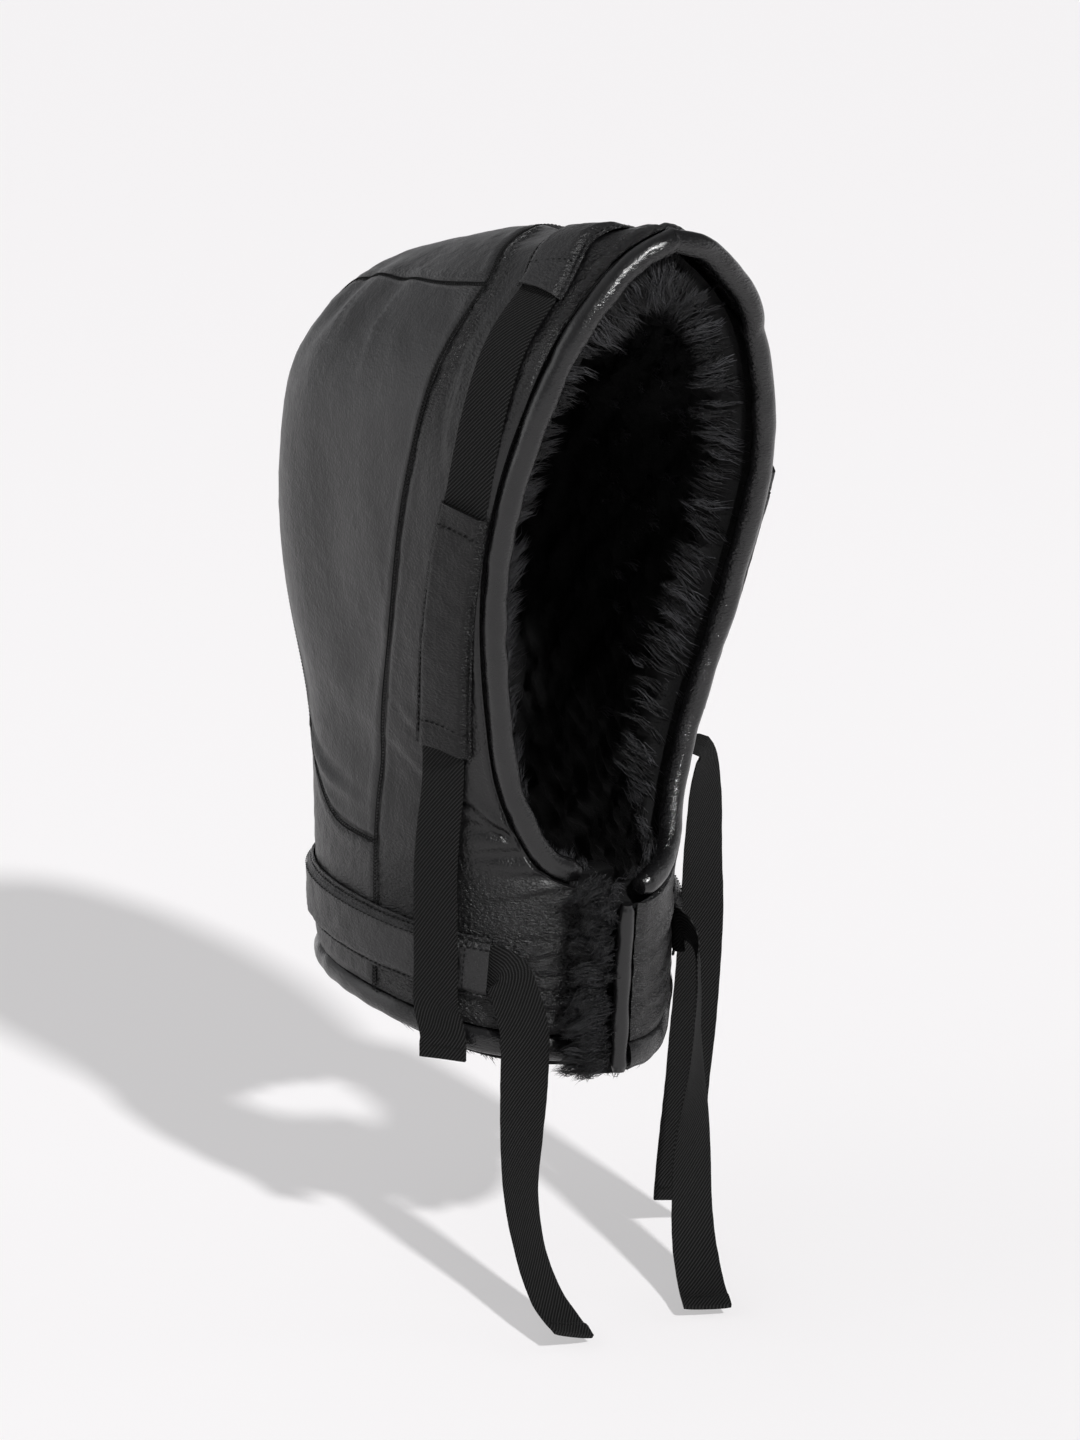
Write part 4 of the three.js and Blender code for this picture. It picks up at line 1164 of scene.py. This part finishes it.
def tunnel(name, spots, sides, halves, ends_lift=0.0):
    """A leather channel: sewn down along both long edges, swollen over the webbing."""
    at, wide, _ = across_surface(spots, sides, np.zeros(len(spots)))
    across = np.concatenate([
        np.linspace(-1, -0.72, 7), np.linspace(-0.66, 0.66, 15), np.linspace(0.72, 1, 7),
    ])
    halves = np.asarray(halves)[:, None]
    a = across[None, :] * halves
    stepped = step_across(spots[:, None], wide[:, None], a)
    side_grid = np.broadcast_to(sides[:, None], a.shape)
    flat_half = webbing_wide / 2
    foot = np.minimum(halves - 0.0003, flat_half + channel_bend)
    rise = 1 - ease(flat_half - channel_bend, foot, np.abs(a))
    body = bare(stepped)
    run = arc_lengths(at)[:, None]
    near_end = np.minimum(run, run[-1] - run)
    under = tunnel_foot + (tunnel_inner - tunnel_foot) * rise
    under = under + ends_lift * beside(near_end, 0.006) * (1 - (a / halves) ** 2)
    from_edge = halves - np.abs(a)
    edge_row = beside(from_edge - row_inset, 0.0009)
    end_row = beside(near_end - end_row_inset, 0.0011) * (ends_lift > 0)
    skin = tunnel_leather - 0.0004 * edge_row - 0.0005 * end_row - 0.0006 * beside(from_edge, 0.0005)
    skin = skin + 0.00022 * ripple(body, 0.016, 12) + 0.0001 * ripple(body, 0.006, 13)
    marks = {"pucker": 0.2 + 0.4 * beside(from_edge, 0.004)}
    outer = place(stepped, under + skin, side_grid)
    inner = place(stepped, under + 0 * a, side_grid)
    # The side channels take the darker leather copy, which is painted shade; the crown and neck channels
    # keep the plain leather
    look = painted_shade_channel_material if name.startswith("side") else leather_material
    piece = wall(name, outer, inner, look, "leather", every=2, marks=marks)
    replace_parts(piece, name)


def crown_channel(count):
    """Stations over the crown from the right end of its channel to the left one."""
    end = tunnel_ends["crown"]
    alongs = np.concatenate([np.linspace(end, 0, count), np.linspace(0, end, count)[1:]])
    sides = np.concatenate([np.full(count, right), np.full(count - 1, left)])
    halves = lerp(*crown_tunnel_half, alongs / end)
    return line_spot(strap_line, alongs, sides), sides, halves


def tunnels():
    steps = 91
    for word, side in (("right", right), ("left", left)):
        alongs = np.linspace(tunnel_ends["from"], tunnel_ends["to"], steps)
        spots = line_spot(strap_line, alongs, side)
        halves = np.linspace(*side_tunnel_half, steps)
        tunnel(f"side_tunnel_{word}", spots, np.full(steps, side), halves, channel_end_rise)
    tunnel("crown_tunnel", *crown_channel(45), channel_end_rise)
    spots, sides = band_places(221)
    tunnel("neck_tunnel", spots, sides, np.full(len(spots), band_half))


tunnels()
straps = {"side_strap": side_strap(), "neck_strap": neck_strap()}
for name, (piece, _, _, _, run) in straps.items():
    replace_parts(piece, name)


# Stitches

thread_radius = 0.00036
thread_arch = 0.0003
thread_sides = 5
thread_rings = 4
overlock_step = 0.0019
overlock_half = 0.0013
stitch_long = 0.0024
stitch_gap = 0.0009
stitch_sunk = 0.00015
edge_row_height = tunnel_foot + tunnel_leather - 0.0001
side_row_inset = 0.002
band_second_row = 0.0052
cross_points = 24


def repeated(name, points, faces, look, slot_name, crease, marks=None):
    """One piece of many small closed shells alike: the points of each, and the faces of one."""
    count, size = points.shape[:2]
    quads, fans = faces
    if outward(points[0], quads) is not quads:
        quads, fans = quads[:, ::-1], fans[:, ::-1]
    shift = (np.arange(count) * size)[:, None, None]
    face_sets = [(kind[None] + shift).reshape(-1, kind.shape[1]) for kind in (quads, fans)]
    build(name, points, face_sets, look, slot_name, crease=crease, marks=marks)


def capsules(name, starts, ends, normals):
    """Short bowed stitches from start to end, rising in the middle."""
    starts, ends, normals = (np.concatenate(values) for values in (starts, ends, normals))
    t = np.linspace(0, 1, thread_rings)
    line = starts[:, None] + (ends - starts)[:, None] * t[:, None]
    line = line + normals[:, None] * (np.sin(math.pi * t) * thread_arch)[:, None]
    heading = unit(ends - starts)
    across = unit(np.cross(heading, normals))
    up = np.cross(across, heading)
    fat = thread_radius * np.sqrt(np.clip(1 - (2 * t - 1) ** 4, 0.12, 1))
    angle = (2 * math.pi * np.arange(thread_sides) / thread_sides)[:, None]
    ring = across[:, None] * np.cos(angle) + up[:, None] * np.sin(angle)
    points = line[:, :, None] + ring[:, None] * fat[:, None, None]
    faces = tube_faces(thread_rings, thread_sides)
    repeated(name, points.reshape(len(starts), -1, 3), faces, thread_material, "webbing", 80)


def overlock(name, spots, sides):
    """The braided overlock thread over a seam: two slanted rows that meet in the middle."""
    at, normal = frame_at(spots, sides)
    at, normal = resample(at, overlock_step, normal)
    heading = unit(np.gradient(at, axis=0))
    normal = unit(normal)
    across = np.cross(normal, heading)
    starts, ends = [], []
    for way in (-1, 1):
        starts.append(at + across * overlock_half * way - heading * overlock_step * 0.3)
        ends.append(at + heading * overlock_step * 0.75 - across * 0.0001 * way)
    capsules(name, starts, ends, [normal, normal])


def running_stitch(name, rows, length=stitch_long, gap=stitch_gap):
    """Rows of plain stitches, each row given as middles and normals along a line."""
    starts, ends, normals = [], [], []
    for points, normal in rows:
        at, up = resample(points, length + gap, normal)
        heading = unit(np.gradient(at, axis=0))[:-1]
        up = unit(up)[:-1]
        start = at[:-1] - up * stitch_sunk
        starts.append(start)
        ends.append(start + heading * length)
        normals.append(up)
    capsules(name, starts, ends, normals)


def seam_threads():
    for word, side in (("right", right), ("left", left)):
        for seam, line, count in (("front", front_seam, 300), ("crown", crown_seam, 260)):
            spots = line_spot(line, np.linspace(0, 1, count), side)
            overlock(f"{seam}_seam_thread_{word}", spots, np.full(count, side))
    along = np.concatenate([np.linspace(0, 1, 150), np.linspace(1, 0, 150)[1:]])
    sides = np.concatenate([np.full(150, right), np.full(149, left)])
    overlock("neck_seam_thread", line_spot(neck_seam, along, sides), sides)


def widths(spots, sides):
    """Directions across a line of spots on the surface."""
    return across_surface(spots, sides, np.zeros(len(spots)))[1]


def offset_row(spots, sides, offset, height):
    """A row beside a line on the surface, at a distance across it."""
    moved = step_across(spots, widths(spots, sides), offset)
    return place(moved, np.full(len(moved), height), sides), frame_at(moved, sides)[1]


def cross_row(spots, sides, k, half):
    """A row straight across a channel at one of its stations."""
    offsets = np.linspace(-half, half, cross_points)
    spot = np.repeat(spots[k][None], cross_points, 0)
    wide = np.repeat(widths(spots, sides)[k][None], cross_points, 0)
    across = step_across(spot, wide, offsets)
    flat_half = webbing_wide / 2
    body = 1 - ease(flat_half - channel_bend, flat_half + channel_bend, np.abs(offsets))
    raised = lerp(tunnel_foot, tunnel_inner, body) + tunnel_leather
    side = np.full(cross_points, sides[k])
    return place(across, raised, side), frame_at(across, side)[1]


def channel_rows(spots, sides, halves, inset, stations):
    """Stitch rows along both edges of a channel, and across it at two stations."""
    rows = [offset_row(spots, sides, end * (halves - inset), edge_row_height) for end in (-1, 1)]
    return rows + [cross_row(spots, sides, k, halves[k] - side_row_inset) for k in stations]


def channel_stitches():
    rows = []
    for side in (right, left):
        alongs = np.linspace(tunnel_ends["from"] + 0.01, tunnel_ends["to"] - 0.01, 80)
        spots = line_spot(strap_line, alongs, side)
        halves = np.linspace(*side_tunnel_half, 80)
        rows += channel_rows(spots, np.full(80, side), halves, side_row_inset, (5, -6))
    rows += channel_rows(*crown_channel(40), row_inset, (9, -10))
    running_stitch("channel_stitches", rows)
    spots, sides = band_places(160)
    rows = channel_rows(spots, sides, np.full(160, band_half), side_row_inset, (4, -5))
    second = np.full(160, band_half - band_second_row)
    rows.append(offset_row(spots, sides, second, tunnel_inner + tunnel_leather))
    running_stitch("band_stitches", rows)


def strap_end_stitches():
    """The stitch row that holds each folded end of webbing, on both of its faces."""
    rows = []
    a = np.linspace(-0.46, 0.46, 12)[:, None] * webbing_wide
    distance = folded_end * 0.78
    for _, line, wide, normal, run in straps.values():
        for k in (0, -1):
            row_at = distance if k == 0 else run[-1] - distance
            at = np.array([np.interp(row_at, run, line[:, c]) for c in range(3)])
            for face, rise in ((1, 1.45), (-1, 0.52)):
                points = at + wide[k] * a + normal[k] * (face * webbing_thick * rise)
                rows.append((points, np.repeat(face * normal[k][None], 12, 0)))
    running_stitch("strap_end_stitches", rows, 0.0019, 0.0008)


seam_threads()
channel_stitches()
strap_end_stitches()


# Wool

wool_turn = {right: -8.0, left: -11.0}
ray_samples = 60
wool_dents = 1.4
body_depth = 0.66
root_depth = 0.42
tip_depth = 1.08
lock_deepest = 0.0105
lock_lean = 0.010
lock_spread = 0.0019
fibre_radius = 0.00024
fibre_stations = 5
fibre_sides = 3
fibre_turns = 1.15


def wool_rays(turns, sides):
    """Rays over the disc from the face edge to the hem, with their lengths on the surface."""
    first = face_edge["turn"][0]
    start = line_spot(face_edge, (turns - first) / (180 - first), sides)
    finish = spot_at(np.ones(len(turns)), turns, sides)
    shares = np.linspace(0, 1, ray_samples + 1)
    spots = start[:, None] + (finish - start)[:, None] * shares[None, :, None]
    return start, finish, shares, arc_lengths(bare(spots), 1)


def ray_spots(rays, distances):
    """Spots at distances along each ray, which runs on past both of its ends."""
    start, finish, shares, lengths = rays
    total = lengths[:, -1:]
    share = np.stack([np.interp(away, run, shares) for away, run in zip(distances, lengths)])
    share = np.where(distances < 0, distances * shares[1] / lengths[:, 1:2], share)
    past = (distances - total) * shares[1] / (total - lengths[:, -2:-1])
    share = np.where(distances > total, 1 + past, share)
    return start[:, None] + (finish - start)[:, None] * share[..., None]


def wool_heights(side, turn, from_face, from_hem):
    """The wool's outer face under the leather and behind the rolls."""
    behind = leather + layer_gap
    roll_deep = [deep - roll_bulge - leather for deep in (binding_deep, hem_roll_deep, lapel_roll)]
    face = (1 - ease(0.001, 0.009, from_face)) * roll_deep[0]
    hem = (1 - ease(hem_roll_tall + 0.003, hem_roll_tall + 0.012, from_hem)) * roll_deep[1]
    is_left = np.asarray(side) > 0
    lapel = np.where(is_left, (1 - ease(1, 5, turn)) * roll_deep[2], 0)
    under = np.where(is_left, 0.0008 * (1 - ease(30, 50, turn)), 0)
    return -behind - np.maximum(np.maximum(face, hem), lapel) - under


def wool_inner(side, turn, outer, depth):
    """The wool's inner face, which stays clear of the right lapel under the left one."""
    inner = outer - depth
    over_right = layer_gap + roll_bulge - lift(spot_at(1.0, turn, 1.0), 1.0)
    limited = lerp(np.maximum(inner, over_right), inner, ease(12, 22, turn))
    return np.where(np.asarray(side) > 0, limited, inner)


def face_pile(turn, from_face, near, far):
    """One along the face edge, where the pile stands highest, and none farther in."""
    return (1 - ease(near, far, from_face)) * ease(22, 40, turn)


def wool_columns(count):
    half = 180 * (np.linspace(0, 1, count) ** 1.25)
    right_turns = np.concatenate([[wool_turn[right]], half])
    left_turns = np.concatenate([[wool_turn[left]], half])[:-1][::-1]
    turns = np.concatenate([right_turns, left_turns])
    sides = np.concatenate([np.full(len(right_turns), right), np.full(len(left_turns), left)])
    return turns, sides


def wool_body():
    """The dense wool under the locks, thicker at the face edge, with the swells of the pile."""
    turns, sides = wool_columns(121)
    rays = wool_rays(turns, sides)
    total = rays[3][:, -1:]
    reach = total + (wool_past_face + wool_past_hem) / 2
    distances = crowded(141, 0.5)[None, :] * reach - wool_past_face / 2
    spots = ray_spots(rays, distances)
    turn_grid = np.broadcast_to(turns[:, None], distances.shape)
    side_grid = np.broadcast_to(sides[:, None], distances.shape)
    outer = wool_heights(side_grid, turn_grid, distances, total - distances)
    inner = wool_inner(side_grid, turn_grid, outer, wool_depth * body_depth)
    base = bare(spots)
    edge_pile = face_pile(turn_grid, distances, 0.008, 0.034)
    swell = (0.0022 + 0.001 * edge_pile) * ripple(base, 0.016, 41) - wool_edge_pile * edge_pile
    swell = swell + 0.0013 * ripple(base, 0.008, 42, 11) + 0.0007 * ripple(base, 0.004, 43, 11)
    outer_points = place(spots, outer, side_grid, wool_dents)
    inner_points = place(spots, np.minimum(inner + swell, outer - 0.002), side_grid, wool_dents)
    piece = wall("fleece_body", inner_points, outer_points, wool_material, "wool", every=4, crease=180)
    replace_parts(piece, "fleece_lining")


def strands(name, roots, tips, curls, phases, tone_and_painted_light, seed):
    """Tapered wool fibres that come to a point, each with the crimp of its lock."""
    source = np.random.default_rng(seed)
    count = len(roots)
    t = np.linspace(0, 1, fibre_stations)[None, :]
    reach = tips - roots
    heading = unit(reach)
    helper = np.tile(unit(np.array([0.3, 0.5, 0.81])), (count, 1))
    a = unit(np.cross(heading, helper))
    b = np.cross(heading, a)
    angle = phases[:, None] + 2 * math.pi * fibre_turns * t + source.normal(0, 0.5, (count, 1))
    grow = curls[:, None] * (0.3 + 0.9 * t)
    swing = [np.cos(angle) - np.cos(angle[:, :1]), np.sin(angle) - np.sin(angle[:, :1])]
    line = roots[:, None] + reach[:, None] * t[..., None]
    line = line + a[:, None] * (grow * swing[0])[..., None] + b[:, None] * (grow * swing[1])[..., None]
    corner = (2 * math.pi * np.arange(fibre_sides) / fibre_sides)[:, None]
    thick = fibre_radius * np.array([0.8, 1.0, 0.85, 0.55])[:, None, None]
    ring = a[:, None, None] * np.cos(corner) + b[:, None, None] * np.sin(corner)
    rings = line[:, :-1, None] + ring * thick
    points = np.concatenate([rings.reshape(count, -1, 3), line[:, -1:]], axis=1)
    tip = points.shape[1] - 1
    last = tip - fibre_sides
    quads, _ = tube_faces(fibre_stations - 1, fibre_sides)
    fans = np.array([[0, 2, 1], [last, last + 1, tip], [last + 1, last + 2, tip], [last + 2, last, tip]])
    # The tone mark carries each lock's random tone together with its painted light or shade
    marks = {"tone": np.repeat(tone_and_painted_light, tip + 1)}
    repeated(name, points, (quads, fans), strand_material, "wool", 180, marks)


def fill_locks(name, roots, tips, per_lock, spread, painted_light, seed):
    """Locks from roots to tips, each a bundle of fibres with a shared curl and tone, the tone scaled as
    painted light or shade.
    """
    source = np.random.default_rng(seed)
    count = len(roots)
    many = count * per_lock

    def each(values):
        return np.repeat(values, per_lock, axis=0)

    offset = source.normal(0, spread, (many, 3))
    length = each(source.uniform(0.8, 1.12, (count, 1))) * source.uniform(0.72, 1.08, (many, 1))
    fibre_roots = each(roots) + offset
    fibre_tips = each(roots) + each(tips - roots) * length + offset * 0.35
    fibre_tips = fibre_tips + source.normal(0, spread * 0.35, (many, 3))
    curls = each(source.uniform(0.0006, 0.0017, count))
    phases = each(source.uniform(0, 2 * math.pi, count))
    # Random tone per lock, scaled as painted shade below 1 and painted light above 1
    tone_and_painted_light = painted_light * each(source.uniform(0, 1, count) ** 2)
    strands(name, fibre_roots, fibre_tips, curls, phases, tone_and_painted_light, seed + 1)


def ray_locks(name, count, per_lock, first_turn, band, lean, pile, painted_light, seed):
    """Locks over the wool between two distances from the face edge, as the band gives them."""
    source = np.random.default_rng(seed)
    sides = np.where(source.random(count) < 0.5, right, left)
    turns = source.uniform(first_turn, 180, count)
    turns = np.maximum(turns, np.where(sides < 0, wool_turn[right], wool_turn[left]) + 0.5)
    rays = wool_rays(turns, sides)
    total = rays[3][:, -1]
    low, high = band(total)
    distance = low + (high - low) * source.random(count)
    spots = ray_spots(rays, distance[:, None])[:, 0]
    ahead = ray_spots(rays, distance[:, None] - 0.004)[:, 0]
    outer = wool_heights(sides, turns, distance, total - distance)
    root_height = wool_inner(sides, turns, outer, wool_depth * root_depth)
    tip_height = wool_inner(sides, turns, outer, wool_depth * tip_depth)
    root_height = np.where(distance < 0, lerp(outer, root_height, source.random(count)), root_height)
    root = place(spots, root_height, sides, wool_dents)
    to_face = unit(place(ahead, root_height, sides, wool_dents) - root)
    tip = place(spots, tip_height, sides, wool_dents)
    inward = unit(tip - root)
    along_edge = np.cross(inward, to_face)
    deep = np.minimum(np.linalg.norm(tip - root, axis=-1), lock_deepest)[:, None]
    toward = lean * source.uniform(0.6, 1.3, (count, 1))
    sideways = source.normal(0, 0.003, (count, 1)) + 0.001
    inward = inward * (1 + pile * face_pile(turns, distance, 0.006, 0.03))[:, None]
    tip = root + inward * deep * (1 - 0.3 * np.abs(toward)) + to_face * toward * lock_lean
    fill_locks(name, root, tip + along_edge * sideways, per_lock, lock_spread, painted_light, seed + 3)


def lapel_locks(count, per_lock, seed):
    """The deep wool that stands out past the left lapel's rolled edge."""
    source = np.random.default_rng(seed)
    out = source.uniform(0.795, 1.0, count)
    turn = source.uniform(-11.5, -4.5, count)
    spots = spot_at(out, turn, left)
    bottom = -(leather + layer_gap + wool_depth * 0.85)
    height = source.uniform(bottom, -0.004, count)
    root = place(spots, height, left)
    aside = unit(place(spot_at(out, turn - 1, left), height, left) - root)
    outward_way = unit(place(spots, height + 0.001, left) - root)
    down = np.array([0.0, 0.0, -1.0])
    grow = source.uniform(0.006, 0.0145, (count, 1)) * (1 + 0.35 * ease(0.85, 0.95, out))[:, None]
    tip = root + aside * grow + outward_way * source.uniform(-0.001, 0.0062, (count, 1))
    tip = tip + down * source.normal(0.002, 0.003, (count, 1))
    # 0.3 is painted shade that darkens the wool past the lapel
    fill_locks("wool_locks_lapel", root, tip, per_lock, 0.002, 0.3, seed + 3)


def wool_locks():
    def at_face(_):
        return -0.0045, 0.010

    def inside(total):
        return 0.010, np.minimum(total - 0.03, 0.21)

    def at_hem(total):
        return total - 0.012, total + 0.003

    # The fifth number from the end is painted light: the inside wool is painted lighter, and the hem wool
    # is painted darker
    ray_locks("wool_locks_face", 640, 12, 0, at_face, lean=0.95, pile=1.9, painted_light=1.0, seed=51)
    ray_locks("wool_locks_inside", 560, 14, 0, inside, lean=0.35, pile=0.9, painted_light=1.5, seed=61)
    ray_locks("wool_locks_hem", 320, 12, -8, at_hem, lean=-1.0, pile=0.0, painted_light=0.5, seed=71)
    lapel_locks(250, 21, seed=81)


wool_body()
wool_locks()
